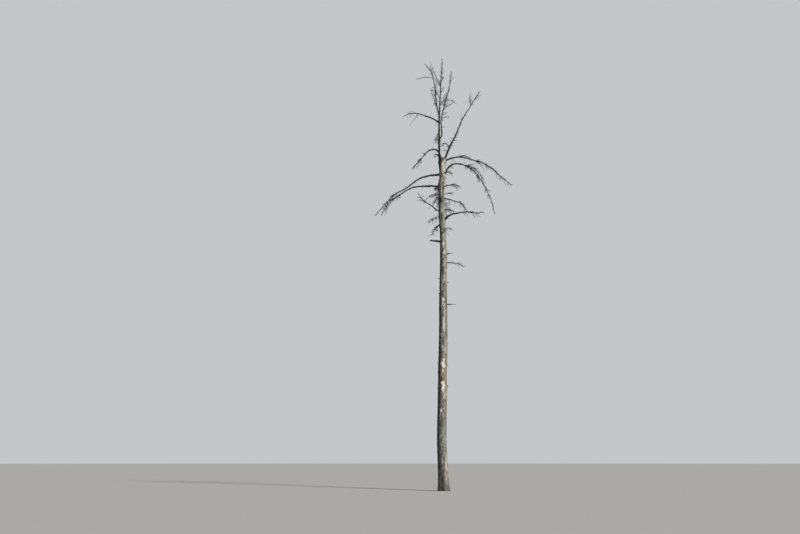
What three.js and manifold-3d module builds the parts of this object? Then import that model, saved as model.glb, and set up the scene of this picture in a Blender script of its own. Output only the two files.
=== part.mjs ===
// A dead standing conifer, 22 m tall, bare of needles and of most of its bark.
// One trunk runs from a flat cut at ground level to a broken top, where it forks into upright
// leaders. Boughs arch out round the upper trunk, and each ends in a mass of bare twigs.
// Lengths are in millimetres and slopes in degrees. A bearing is counted from +X, the right,
// towards +Y, away from the viewer, so 90 points to the back and 270 to the front.

import * as THREE from "three";
import { mergeVertices } from "three/addons/utils/BufferGeometryUtils.js";
import Module from "manifold-3d";

const wasm = await Module();
wasm.setup();

const UP = new THREE.Vector3(0, 0, 1);
const CLEAR = 0.3; // gap between neighbouring solids
const FIRST_SEED = 100; // each arm grows from a seed of its own
const SWAY_ROOM = 25; // least gap from a twig to a limb or twig of another node

const TRUNK = {
  top: 16600, // height of the broken top
  woodDiameter: 440, // of the wood at the foot, without its flare
  taperHeight: 22000,
  taperPower: 2.1,
  barkThickness: 15, // the bark is lost above barkTop
  barkTop: 11900,
  barkEdge: 500,
  flare: 110, // what the root flare adds to the diameter at the ground
  flareHeight: 420,
  buttresses: 5,
  buttressDepth: 0.12,
  swelling: { height: 13500, size: 40, reach: 300 },
  collar: { height: 16330, size: 190, reach: 420 },
  breakDepth: 80, // how far the broken top is jagged
  sides: 20,
  rings: 36,
  ringCrowding: 0.7, // rings stand closer together at both ends of the trunk
  unevenness: 0.02,
  unevenTurn: 900,
};

// Where the trunk's axis runs: height, then how far it leans to the right and away.
const LEAN = [
  [0, 0, 0],
  [2400, -50, 20],
  [5000, 10, 45],
  [8200, 75, 50],
  [11500, 120, 30],
  [13900, 58, 10],
  [15200, 66, 0],
  [16600, 115, 0],
];

const LIMB = {
  sides: 7,
  segments: 8,
  stubSegments: 5,
  rootDepth: 0.5, // where a limb starts inside its carrier, as a share of the carrier's radius
  pull: 0.35, // how far each end's slope holds, as a share of the limb's chord
  tipDiameter: 12,
  taperPower: 0.85,
  collarSize: 0.35, // the swollen root, as shares of the limb's diameter
  collarReach: 1.6,
  crook: 0.014, // how far the limb sways off its curve, as a share of its chord
  crookTurns: [9.5, 14.5],
  crookRise: 0.6,
};
const STEM = { sides: 5, segments: 6 };
const TWIG = {
  sides: 3,
  segments: 3,
  forkSegments: 4,
  girth: 0.6, // of the stem where it grows
  thinnest: 7,
  thickest: 20,
  taperPower: 0.6,
  first: 0.04, // the stretch of the stem that bears twigs
  last: 0.97,
  tipShortening: 0.55, // twigs near the stem's tip are shorter by this share
  lengths: [0.55, 1.3],
  bends: [0.4, 1.6],
  room: 1.1, // how far a mass may reach from its stem, in lengths of its twigs
};

// How twigs stand on a stem: one for each spacing, leaning between two angles off the stem,
// turned either to its sides or all round, bent down or up as they grow out.
const HABITS = {
  spreading: { spacing: 134, length: 430, lean: [38, 66], turnSpread: 110, bend: -0.22 },
  upright: { spacing: 155, length: 330, lean: [26, 46], turnSpread: 170, bend: 0.16 },
};

// Each arm is one curve from its carrier to its furthest tip. It leaves the carrier at a height
// and a bearing, reaches out, rises or falls, and has a slope at its root and at its tip.
// Its limb takes the first share of the curve, and its mass of twigs the rest. An arm with a
// share of 1 is a bare stub, and one with a share of 0 is a tuft that grows from the trunk.
// Forks are long prongs of the mass: at is a share of its stem, turn is 0 upwards and 180
// downwards round the stem, lean is off the stem's run.
const ARMS = [
  { name: "main_leader", height: 16250, aside: -130, bearing: 0, reach: 170, rise: 5750, slopes: [93, 87],
    diameter: 112, share: 0.72, habit: "upright",
    forks: [{ at: 0.06, turn: 0, lean: 28, length: 1250, bend: 0.05 }] },
  { name: "right_leader", on: "main_leader", height: 17500, bearing: 348, reach: 670, rise: 3760,
    slopes: [92, 85], diameter: 62, share: 0.46, habit: "upright",
    forks: [
      { at: 0.04, turn: 180, lean: 46, length: 640, bend: -0.12 },
      { at: 0.03, turn: 10, lean: 14, length: 760, bend: 0.1 },
      { at: 0.72, turn: 180, lean: 24, length: 330, bend: 0.1 },
    ] },
  { name: "left_leader", on: "main_leader", height: 18900, bearing: 165, reach: 730, rise: 2880,
    slopes: [72, 46], diameter: 64, share: 0.6, habit: "upright",
    forks: [
      { at: 0.2, turn: 175, lean: 58, length: 930, bend: -0.18 },
      { at: 0.5, turn: 0, lean: 22, length: 560, bend: 0.1 },
    ] },
  { name: "rising_bough", height: 16450, aside: 70, bearing: 15, reach: 2040, rise: 4000, slopes: [66, 55],
    diameter: 92, share: 0.76, habit: "upright",
    forks: [
      { at: 0.08, turn: 5, lean: 26, length: 700, bend: 0.1 },
      { at: 0.5, turn: 180, lean: 24, length: 520, bend: 0.05 },
    ] },
  { name: "left_upper", on: "main_leader", height: 18500, bearing: 172, reach: 1860, rise: 370,
    slopes: [32, -40], diameter: 68, share: 0.5,
    forks: [{ at: 0.06, turn: 180, lean: 48, length: 820, bend: -0.25 }] },
  { name: "left_collar", on: "main_leader", height: 16920, bearing: 205, reach: 1550, rise: -1130,
    slopes: [38, -45], diameter: 72, share: 0.55 },
  { name: "left_long", height: 15700, bearing: 190, reach: 3370, rise: -2320, slopes: [-3, -53],
    diameter: 84, share: 0.58, forks: [{ at: 0.45, turn: 170, lean: 28, length: 620, bend: -0.15 }] },
  { name: "left_second", height: 15050, bearing: 164, reach: 3160, rise: -1240, slopes: [17, -64],
    diameter: 76, share: 0.56, forks: [{ at: 0.6, turn: 180, lean: 24, length: 560, bend: -0.15 }] },
  { name: "left_rising", height: 13670, bearing: 215, reach: 1410, rise: 790, slopes: [35, 57],
    diameter: 62, share: 0.52 },
  { name: "right_long", height: 16420, bearing: 350, reach: 3400, rise: -1490, slopes: [27, -48],
    diameter: 80, share: 0.54, forks: [{ at: 0.7, turn: 180, lean: 34, length: 420, bend: -0.1 }] },
  { name: "right_second", height: 15400, bearing: 14, reach: 2750, rise: -1610, slopes: [80, -80],
    pulls: [0.55, 0.85], diameter: 76, share: 0.42,
    forks: [{ at: 0.05, turn: 0, lean: 14, length: 1050, bend: -0.3 }] },
  { name: "right_level", height: 13180, bearing: 335, reach: 2160, rise: 300, slopes: [69, 0],
    diameter: 74, share: 0.56, forks: [{ at: 0.6, turn: 180, lean: 40, length: 380, bend: -0.1 }] },
  { name: "right_middle", height: 14480, bearing: 50, reach: 2070, rise: -290, slopes: [2, -50],
    diameter: 60, share: 0.55 },
  { name: "right_short", height: 15010, bearing: 305, reach: 1330, rise: -290, slopes: [2, -41],
    diameter: 56, share: 0.45, forks: [{ at: 0.1, turn: 120, lean: 30, length: 480, bend: -0.1 }] },
  { name: "right_low", height: 11110, bearing: 40, reach: 1340, rise: -20, slopes: [14, -19],
    diameter: 52, share: 0.5 },
  { name: "back_upper", on: "main_leader", height: 17850, bearing: 96, reach: 1250, rise: -60,
    slopes: [35, -32], diameter: 54, share: 0.5 },
  { name: "front_upper", on: "main_leader", height: 17350, bearing: 260, reach: 1250, rise: -360,
    slopes: [15, -45], diameter: 54, share: 0.5 },
  { name: "back_long", height: 16050, bearing: 93, reach: 2750, rise: -1350, slopes: [20, -52],
    diameter: 78, share: 0.56, forks: [{ at: 0.5, turn: 170, lean: 30, length: 560, bend: -0.15 }] },
  { name: "front_long", height: 15600, bearing: 270, reach: 2600, rise: -1450, slopes: [12, -55],
    diameter: 76, share: 0.56, forks: [{ at: 0.55, turn: 180, lean: 28, length: 520, bend: -0.15 }] },
  { name: "back_second", height: 14850, bearing: 81, reach: 2250, rise: -900, slopes: [15, -50],
    diameter: 66, share: 0.55 },
  { name: "front_second", height: 14250, bearing: 257, reach: 1950, rise: -650, slopes: [12, -48],
    diameter: 64, share: 0.55 },
  { name: "back_low", height: 13050, bearing: 108, reach: 1500, rise: -180, slopes: [30, -30],
    diameter: 56, share: 0.5 },
  { name: "front_low", height: 12600, bearing: 284, reach: 1350, rise: -120, slopes: [34, -28],
    diameter: 52, share: 0.5 },
  { name: "left_stub", height: 12200, bearing: 172, reach: 570, rise: 80, slopes: [9, 6],
    diameter: 62, share: 1 },
  { name: "left_hooked_stub", height: 14830, bearing: 228, reach: 460, rise: -60, slopes: [55, -70],
    diameter: 64, share: 1 },
  { name: "left_low_stub", height: 13010, bearing: 150, reach: 360, rise: -60, slopes: [30, -50],
    diameter: 42, share: 1 },
  { name: "right_stub", height: 11500, bearing: 330, reach: 250, rise: 60, slopes: [30, 0],
    diameter: 46, share: 1 },
  { name: "right_low_stub", height: 8980, bearing: 352, reach: 320, rise: 20, slopes: [12, -5],
    diameter: 44, share: 1 },
  { name: "right_tuft", height: 15720, bearing: 305, reach: 760, rise: -160, slopes: [10, -30],
    diameter: 30, share: 0 },
  { name: "right_middle_tuft", height: 14620, bearing: 340, reach: 520, rise: 30, slopes: [20, -15],
    diameter: 28, share: 0 },
  { name: "right_curled_tuft", height: 13800, bearing: 22, reach: 600, rise: -30, slopes: [45, -70],
    diameter: 30, share: 0 },
  { name: "left_tuft", height: 14650, bearing: 196, reach: 600, rise: -130, slopes: [5, -30],
    diameter: 30, share: 0 },
  { name: "left_collar_tuft", height: 16600, bearing: 215, reach: 420, rise: -60, slopes: [45, -60],
    diameter: 30, share: 0 },
  { name: "left_low_tuft", height: 13520, bearing: 138, reach: 800, rise: -160, slopes: [5, -25],
    diameter: 28, share: 0 },
];

const COLOURS = {
  trunk: { color: 0xb8a68d, roughness: 0.88, metalness: 0 },
  limb: { color: 0x5d5248, roughness: 0.92, metalness: 0 },
  twigs: { color: 0x463f38, roughness: 0.95, metalness: 0 },
};

const radians = THREE.MathUtils.degToRad;

// Random numbers from 0 to 1 that come out the same for the same seed.
function seeded(seed) {
  let state = seed >>> 0;
  return () => {
    state = (state + 0x6d2b79f5) >>> 0;
    let mixed = Math.imul(state ^ (state >>> 15), state | 1);
    mixed ^= mixed + Math.imul(mixed ^ (mixed >>> 7), mixed | 61);
    return ((mixed ^ (mixed >>> 14)) >>> 0) / 4294967296;
  };
}

function between([low, high], share) {
  return low + (high - low) * share;
}

function eased(share) {
  const s = THREE.MathUtils.clamp(share, 0, 1);
  return s * s * (3 - 2 * s);
}

function bump(height, { height: middle, size, reach }) {
  return size * Math.exp(-(((height - middle) / reach) ** 2));
}

function trunkAxis(height) {
  const above = Math.max(1, LEAN.findIndex((row) => row[0] >= height));
  const [low, high] = [LEAN[above - 1], LEAN[above]];
  const share = eased((height - low[0]) / (high[0] - low[0]));
  return new THREE.Vector3(between([low[1], high[1]], share), between([low[2], high[2]], share), height);
}

function trunkRadius(height, angle = 0) {
  const wood = TRUNK.woodDiameter * (1 - (height / TRUNK.taperHeight) ** TRUNK.taperPower);
  const bark = 2 * TRUNK.barkThickness * (1 - eased((height - TRUNK.barkTop) / TRUNK.barkEdge));
  const flare = Math.exp(-height / TRUNK.flareHeight);
  const lobes = TRUNK.buttressDepth * flare * Math.cos(TRUNK.buttresses * angle);
  const uneven = TRUNK.unevenness * Math.sin(3 * angle + height / TRUNK.unevenTurn);
  const swollen = bump(height, TRUNK.swelling) + bump(height, TRUNK.collar);
  const diameter = wood + bark + TRUNK.flare * flare + swollen;
  return (diameter / 2) * (1 + lobes + uneven);
}

// A closed solid for joining and cutting, from a closed geometry.
function solidOf(geometry) {
  const bare = new THREE.BufferGeometry();
  bare.setAttribute("position", geometry.getAttribute("position"));
  bare.setIndex(geometry.index);
  const merged = mergeVertices(bare, 1e-3);
  return new wasm.Manifold(
    new wasm.Mesh({
      numProp: 3,
      vertProperties: merged.attributes.position.array,
      triVerts: new Uint32Array(merged.index.array),
    }),
  );
}

function geometryOf(solid, origin) {
  const { vertProperties, triVerts } = solid.getMesh();
  const geometry = new THREE.BufferGeometry();
  geometry.setAttribute("position", new THREE.BufferAttribute(new Float32Array(vertProperties), 3));
  geometry.setIndex(new THREE.BufferAttribute(new Uint32Array(triVerts), 1));
  geometry.translate(-origin.x, -origin.y, -origin.z);
  geometry.computeVertexNormals();
  return geometry;
}

// The largest body of a solid, without scraps that a cut has left.
function largestBody(solid) {
  const bodies = solid.decompose();
  return bodies.reduce((best, body) => (body.volume() > best.volume() ? body : best));
}

// Moves the vertices of a plain cylinder: place gives a point from a ring's number and an angle,
// or from a ring's number alone for the middle of an end.
function bentCylinder(sides, rings, pointed, place) {
  const geometry = new THREE.CylinderGeometry(pointed ? 0 : 1, 1, 1, sides, rings);
  const position = geometry.attributes.position;
  for (let i = 0; i < position.count; i++) {
    const [x, z] = [position.getX(i), position.getZ(i)];
    const ring = Math.round((position.getY(i) + 0.5) * rings);
    const side = (Math.round((Math.atan2(-z, x) / (2 * Math.PI)) * sides) + sides) % sides;
    const point = Math.hypot(x, z) < 1e-6 ? place(ring) : place(ring, (side * 2 * Math.PI) / sides);
    position.setXYZ(i, point.x, point.y, point.z);
  }
  return geometry;
}

// The trunk: level rings, closer together at the flare and the collar, and a jagged last ring.
function trunkGeometry(grown = 0) {
  const heightOf = (ring) => {
    const share = ring / TRUNK.rings;
    return TRUNK.top * (share - (TRUNK.ringCrowding / (2 * Math.PI)) * Math.sin(2 * Math.PI * share));
  };
  return bentCylinder(TRUNK.sides, TRUNK.rings, false, (ring, angle) => {
    const height = heightOf(ring);
    const point = trunkAxis(height);
    if (ring === TRUNK.rings) point.z += grown;
    if (angle === undefined) return point;
    const radius = trunkRadius(height, angle) + grown;
    point.x += radius * Math.cos(angle);
    point.y += radius * Math.sin(angle);
    if (ring === TRUNK.rings) {
      point.z += TRUNK.breakDepth * (0.6 * Math.sin(2 * angle + 0.5) + 0.4 * Math.sin(5 * angle));
    }
    return point;
  });
}

// A tapering tube along points, as a limb, a stem or a twig has it.
function tubeGeometry({ points, radii }, sides, pointed, grown = 0) {
  const last = points.length - 1;
  const along = points.map((_, i) =>
    points[Math.min(i + 1, last)].clone().sub(points[Math.max(i - 1, 0)]).normalize(),
  );
  const path = points.map((point) => point.clone());
  path[last].addScaledVector(along[last], grown);
  const across = [];
  let previous = Math.abs(along[0].z) < 0.9 ? UP : new THREE.Vector3(0, 1, 0);
  for (const tangent of along) {
    previous = previous.clone().addScaledVector(tangent, -previous.dot(tangent)).normalize();
    across.push(previous);
  }
  return bentCylinder(sides, last, pointed, (ring, angle) => {
    const point = path[ring].clone();
    if (angle === undefined) return point;
    const third = along[ring].clone().cross(across[ring]);
    return point
      .addScaledVector(across[ring], Math.cos(angle) * (radii[ring] + grown))
      .addScaledVector(third, Math.sin(angle) * (radii[ring] + grown));
  });
}

function carrierAt(arm, limbs) {
  if (!arm.on) return { point: trunkAxis(arm.height), radius: trunkRadius(arm.height) };
  const { points, radii } = limbs.get(arm.on).run;
  const i = Math.max(1, points.findIndex((point) => point.z >= arm.height));
  const share = (arm.height - points[i - 1].z) / (points[i].z - points[i - 1].z);
  return { point: points[i - 1].clone().lerp(points[i], share), radius: radii[i] };
}

// The arm's whole curve, as a function from 0 at its carrier to 1 at its tip.
function armCurve(arm, limbs, random) {
  const heading = new THREE.Vector3(Math.cos(radians(arm.bearing)), Math.sin(radians(arm.bearing)), 0);
  const side = UP.clone().cross(heading);
  const carrier = carrierAt(arm, limbs);
  const start = carrier.point.addScaledVector(heading, LIMB.rootDepth * carrier.radius);
  if (arm.aside !== undefined) start.set(trunkAxis(arm.height).x + arm.aside, start.y, arm.height);
  const end = start.clone().addScaledVector(heading, arm.reach).addScaledVector(UP, arm.rise);
  const chord = start.distanceTo(end);
  const [rootPull, tipPull] = arm.pulls ?? [LIMB.pull, LIMB.pull];
  const towards = (slope, length) => {
    const level = heading.clone().multiplyScalar(length * Math.cos(radians(slope)));
    return level.addScaledVector(UP, length * Math.sin(radians(slope)));
  };
  const bezier = new THREE.CubicBezierCurve3(
    start,
    start.clone().add(towards(arm.slopes[0], rootPull * chord)),
    end.clone().sub(towards(arm.slopes[1], tipPull * chord)),
    end,
  );
  const [first, second] = [2 * Math.PI * random(), 2 * Math.PI * random()];
  const at = (share) => {
    const swing = LIMB.crook * chord * Math.sin(Math.PI * share);
    return bezier
      .getPoint(share)
      .addScaledVector(side, swing * Math.sin(LIMB.crookTurns[0] * share + first))
      .addScaledVector(UP, LIMB.crookRise * swing * Math.sin(LIMB.crookTurns[1] * share + second));
  };
  return { at, chord, side };
}

function armRadius(arm, chord, share) {
  const taper = between([arm.diameter, LIMB.tipDiameter], share ** LIMB.taperPower) / 2;
  const collar = LIMB.collarSize * Math.exp((-share * chord) / (LIMB.collarReach * arm.diameter));
  return taper * (1 + collar);
}

function runAlong(arm, curve, from, to, segments) {
  const shares = Array.from({ length: segments + 1 }, (_, i) => from + ((to - from) * i) / segments);
  return {
    points: shares.map((share) => curve.at(share)),
    radii: shares.map((share) => armRadius(arm, curve.chord, share)),
  };
}

// One twig: it starts on its stem's axis, leans off it and bends up or down as it goes.
function twigRun(stem, side, { at, turn, lean, length, bend, segments }) {
  const last = stem.points.length - 1;
  const index = Math.min(last - 1, Math.floor(at * last));
  const within = at * last - index;
  const root = stem.points[index].clone().lerp(stem.points[index + 1], within);
  const girth = between([stem.radii[index], stem.radii[index + 1]], within);
  const along = stem.points[index + 1].clone().sub(stem.points[index]).normalize();
  const over = along.clone().cross(side).normalize();
  const direction = along
    .clone()
    .multiplyScalar(Math.cos(radians(lean)))
    .addScaledVector(over, Math.sin(radians(lean)) * Math.cos(radians(turn)))
    .addScaledVector(side, Math.sin(radians(lean)) * Math.sin(radians(turn)));
  const thick = THREE.MathUtils.clamp(2 * girth * TWIG.girth, TWIG.thinnest, TWIG.thickest) / 2;
  const points = [root];
  const radii = [thick];
  for (let i = 1; i <= segments; i++) {
    direction.addScaledVector(UP, (bend * TWIG.segments) / segments).normalize();
    points.push(points[i - 1].clone().addScaledVector(direction, length / segments));
    radii.push(thick * (1 - i / segments) ** TWIG.taperPower);
  }
  return { points, radii };
}

// The twigs of one stem, by the seeded rule of its habit.
function twigsOf(stem, side, habit, random) {
  const length = stem.points.reduce((sum, p, i) => (i ? sum + p.distanceTo(stem.points[i - 1]) : 0), 0);
  const count = Math.round(length / habit.spacing);
  return Array.from({ length: count }, (_, i) => {
    const at = between([TWIG.first, TWIG.last], (i + random()) / count);
    const turn = (i % 2 ? 90 : -90) + habit.turnSpread * (random() - 0.5);
    const lean = between(habit.lean, random());
    const reach = habit.length * (1 - TWIG.tipShortening * at) * between(TWIG.lengths, random());
    const bend = habit.bend * between(TWIG.bends, random());
    return twigRun(stem, side, { at, turn, lean, length: reach, bend, segments: TWIG.segments });
  });
}

// The least distance between two straight pieces, a to b and c to d.
function pieceGap(a, b, c, d) {
  const [ab, cd, ac] = [b.clone().sub(a), d.clone().sub(c), a.clone().sub(c)];
  const [abab, abcd, cdcd, abac, cdac] = [ab.dot(ab), ab.dot(cd), cd.dot(cd), ab.dot(ac), cd.dot(ac)];
  const parallel = abab * cdcd - abcd * abcd;
  let s = parallel > 1e-9 ? THREE.MathUtils.clamp((abcd * cdac - abac * cdcd) / parallel, 0, 1) : 0;
  const t = THREE.MathUtils.clamp((abcd * s + cdac) / cdcd, 0, 1);
  s = THREE.MathUtils.clamp((abcd * t - abac) / abab, 0, 1);
  return ac.addScaledVector(ab, s).addScaledVector(cd, -t).length();
}

function touches(run, owner, taken) {
  return run.points.slice(1).some((b, i) =>
    taken.some(
      (other) =>
        other.owner !== owner &&
        pieceGap(run.points[i], b, other.from, other.to) < run.radii[i] + other.radius + SWAY_ROOM,
    ),
  );
}

function take(run, owner, taken) {
  for (let i = 1; i < run.points.length; i++) {
    taken.push({ owner, from: run.points[i - 1], to: run.points[i], radius: run.radii[i - 1] });
  }
}

function leavesRoom(run, stem, room) {
  const tip = run.points.at(-1);
  return stem.points.every((point) => point.distanceTo(tip) > room);
}

function meshOf(name, solid, origin, look) {
  const mesh = new THREE.Mesh(geometryOf(solid, origin), new THREE.MeshStandardMaterial(COLOURS[look]));
  mesh.name = name;
  mesh.position.copy(origin);
  return mesh;
}

const trunkGroup = new THREE.Group();
const limbGroup = new THREE.Group();
const twigGroup = new THREE.Group();
const taken = [];
const trunkPieces = 24;

const trunkRun = { points: [], radii: [] };
for (let i = 0; i <= trunkPieces; i++) {
  const height = (TRUNK.top * i) / trunkPieces;
  trunkRun.points.push(trunkAxis(height));
  trunkRun.radii.push(trunkRadius(height));
}
take(trunkRun, "trunk", taken);
trunkGroup.add(meshOf("trunk", solidOf(trunkGeometry()), new THREE.Vector3(), "trunk"));

// Limbs: each is cut clear of the trunk and of every limb before it.
const grownSolids = [solidOf(trunkGeometry(CLEAR))];
const limbs = new Map();
ARMS.forEach((arm, number) => {
  const random = seeded(FIRST_SEED + number);
  const limb = { arm, random, curve: armCurve(arm, limbs, random) };
  limbs.set(arm.name, limb);
  if (arm.share === 0) return;
  const segments = arm.share === 1 ? LIMB.stubSegments : LIMB.segments;
  limb.run = runAlong(arm, limb.curve, 0, arm.share, segments);
  let solid = solidOf(tubeGeometry(limb.run, LIMB.sides, false));
  for (const other of grownSolids) solid = solid.subtract(other);
  grownSolids.push(solidOf(tubeGeometry(limb.run, LIMB.sides, false, CLEAR)));
  take(limb.run, arm.name, taken);
  limbGroup.add(meshOf(arm.name, largestBody(solid), limb.run.points[0], "limb"));
});

// Stems of the masses: each starts at its limb's end, or inside the trunk, and is cut clear of it.
const masses = [...limbs.values()].filter((limb) => limb.arm.share < 1);
for (const mass of masses) {
  mass.stem = runAlong(mass.arm, mass.curve, mass.arm.share, 1, STEM.segments);
  take(mass.stem, mass.arm.name, taken);
}

// The masses: forks and twigs fused to their stem, except those that would touch another node
// or leave the mass's own space.
for (const { arm, curve, random, stem } of masses) {
  const habit = HABITS[arm.habit ?? "spreading"];
  const forks = (arm.forks ?? []).map((fork) =>
    twigRun(stem, curve.side, { ...fork, segments: TWIG.forkSegments }),
  );
  const twigs = twigsOf(stem, curve.side, habit, random);
  const kept = twigs.filter((twig) => !leavesRoom(twig, stem, TWIG.room * habit.length));
  let solid = solidOf(tubeGeometry(stem, STEM.sides, true));
  for (const twig of [...forks, ...kept]) {
    if (touches(twig, arm.name, taken)) continue;
    take(twig, arm.name, taken);
    solid = solid.add(solidOf(tubeGeometry(twig, TWIG.sides, true)));
  }
  for (const other of grownSolids) solid = solid.subtract(other);
  twigGroup.add(meshOf(arm.name + "_twigs", largestBody(solid), stem.points[0], "twigs"));
}

const tree = new THREE.Group();
tree.add(trunkGroup, limbGroup, twigGroup);

export default tree;
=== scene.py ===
# A dead standing conifer, 22 m tall: wood and bark for the trunk and boughs, and twigs that grow
# on by the same seeded rule as the solids and are carried to finer ones.
# Metres, +Z up, +X to the right and +Y away from the viewer. A bearing is counted in degrees
# from +X towards +Y, so 90 points to the back and 270 to the front.
import math

import bmesh
import bpy
import numpy as np
from mathutils import Matrix, Vector, noise


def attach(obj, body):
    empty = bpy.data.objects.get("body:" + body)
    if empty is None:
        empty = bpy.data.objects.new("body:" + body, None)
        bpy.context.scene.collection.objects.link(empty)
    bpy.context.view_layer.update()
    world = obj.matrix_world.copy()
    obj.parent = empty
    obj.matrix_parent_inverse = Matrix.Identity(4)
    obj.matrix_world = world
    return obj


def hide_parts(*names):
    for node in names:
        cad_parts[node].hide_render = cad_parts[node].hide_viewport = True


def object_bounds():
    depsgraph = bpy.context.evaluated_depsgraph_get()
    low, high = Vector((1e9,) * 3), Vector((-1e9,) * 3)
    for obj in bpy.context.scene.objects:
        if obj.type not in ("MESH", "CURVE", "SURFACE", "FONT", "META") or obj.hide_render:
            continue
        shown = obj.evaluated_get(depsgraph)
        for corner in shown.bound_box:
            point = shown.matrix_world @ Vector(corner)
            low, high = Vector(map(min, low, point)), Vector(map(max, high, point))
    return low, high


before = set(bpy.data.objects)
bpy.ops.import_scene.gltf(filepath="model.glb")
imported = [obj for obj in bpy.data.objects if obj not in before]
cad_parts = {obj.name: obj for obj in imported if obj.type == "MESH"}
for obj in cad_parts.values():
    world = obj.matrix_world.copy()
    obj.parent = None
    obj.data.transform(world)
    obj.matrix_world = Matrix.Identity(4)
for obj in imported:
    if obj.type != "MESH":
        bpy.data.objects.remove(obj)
cadLow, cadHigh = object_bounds()
up = Vector((0, 0, 1))
print("frame loaded:", len(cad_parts), "nodes")

# The rule that the solids grow by

growth = {
    "swayRoom": 0.025,     # least gap from a twig to a limb or twig of another node
    "room": 1.1,           # how far a mass may reach from its stem, in lengths of its twigs
    "trunkPieces": 24,     # straight pieces of the trunk that twigs keep clear of
}
# where each kind of random draw begins; arms, finer twigs, thinning and boughs add the arm's number
seeds = {"arms": 100, "finerTwigs": 1100, "thinning": 2100, "scars": 7001, "pegs": 7101, "boughs": 7300,
         "noise": 7401}
noise.seed_set(seeds["noise"])   # without it noise_vector follows the clock

trunk = {
    "top": 16.6,
    "woodDiameter": 0.44,
    "taperHeight": 22.0,
    "taperPower": 2.1,
    "barkThickness": 0.015,
    "barkTop": 11.9,       # above it the wood is bare
    "barkEdge": 0.5,
    "flare": 0.11,
    "flareHeight": 0.42,
    "buttresses": 5,
    "buttressDepth": 0.12,
    "swelling": {"height": 13.5, "size": 0.04, "reach": 0.3},
    "collar": {"height": 16.33, "size": 0.19, "reach": 0.42},
    "breakDepth": 0.08,
    "unevenness": 0.02,
    "unevenTurn": 0.9,
}

# height, then how far the trunk leans to the right and away
trunkLean = [
    (0, 0, 0),
    (2.4, -0.05, 0.02),
    (5.0, 0.01, 0.045),
    (8.2, 0.075, 0.05),
    (11.5, 0.12, 0.03),
    (13.9, 0.058, 0.01),
    (15.2, 0.066, 0),
    (16.6, 0.115, 0),
]

limb = {
    "segments": 8,
    "stubSegments": 5,
    "stemSegments": 6,
    "rootDepth": 0.5,
    "pull": 0.35,
    "tipDiameter": 0.012,
    "taperPower": 0.85,
    "collarSize": 0.35,
    "collarReach": 1.6,
    "crook": 0.014,
    "crookTurns": (9.5, 14.5),
    "crookRise": 0.6,
}

twig = {
    "segments": 3,
    "forkSegments": 4,
    "girth": 0.6,
    "thinnest": 0.007,
    "thickest": 0.020,
    "taperPower": 0.6,
    "stretch": (0.04, 0.97),
    "tipShortening": 0.55,
    "lengths": (0.55, 1.3),
    "bends": (0.4, 1.6),
}

habits = {
    "spreading": {"spacing": 0.134, "length": 0.43, "lean": (38, 66), "turnSpread": 110, "bend": -0.22},
    "upright": {"spacing": 0.155, "length": 0.33, "lean": (26, 46), "turnSpread": 170, "bend": 0.16},
}


def fork(*values, **more):
    return {**dict(zip(("at", "turn", "lean", "length", "bend", "thick"), values)), **more}


def arm(name, height, bearing, reach, rise, slopes, diameter, share, **more):
    return {"name": name, "height": height, "bearing": bearing, "reach": reach, "rise": rise,
            "slopes": slopes, "diameter": diameter, "share": share, **more}


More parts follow.
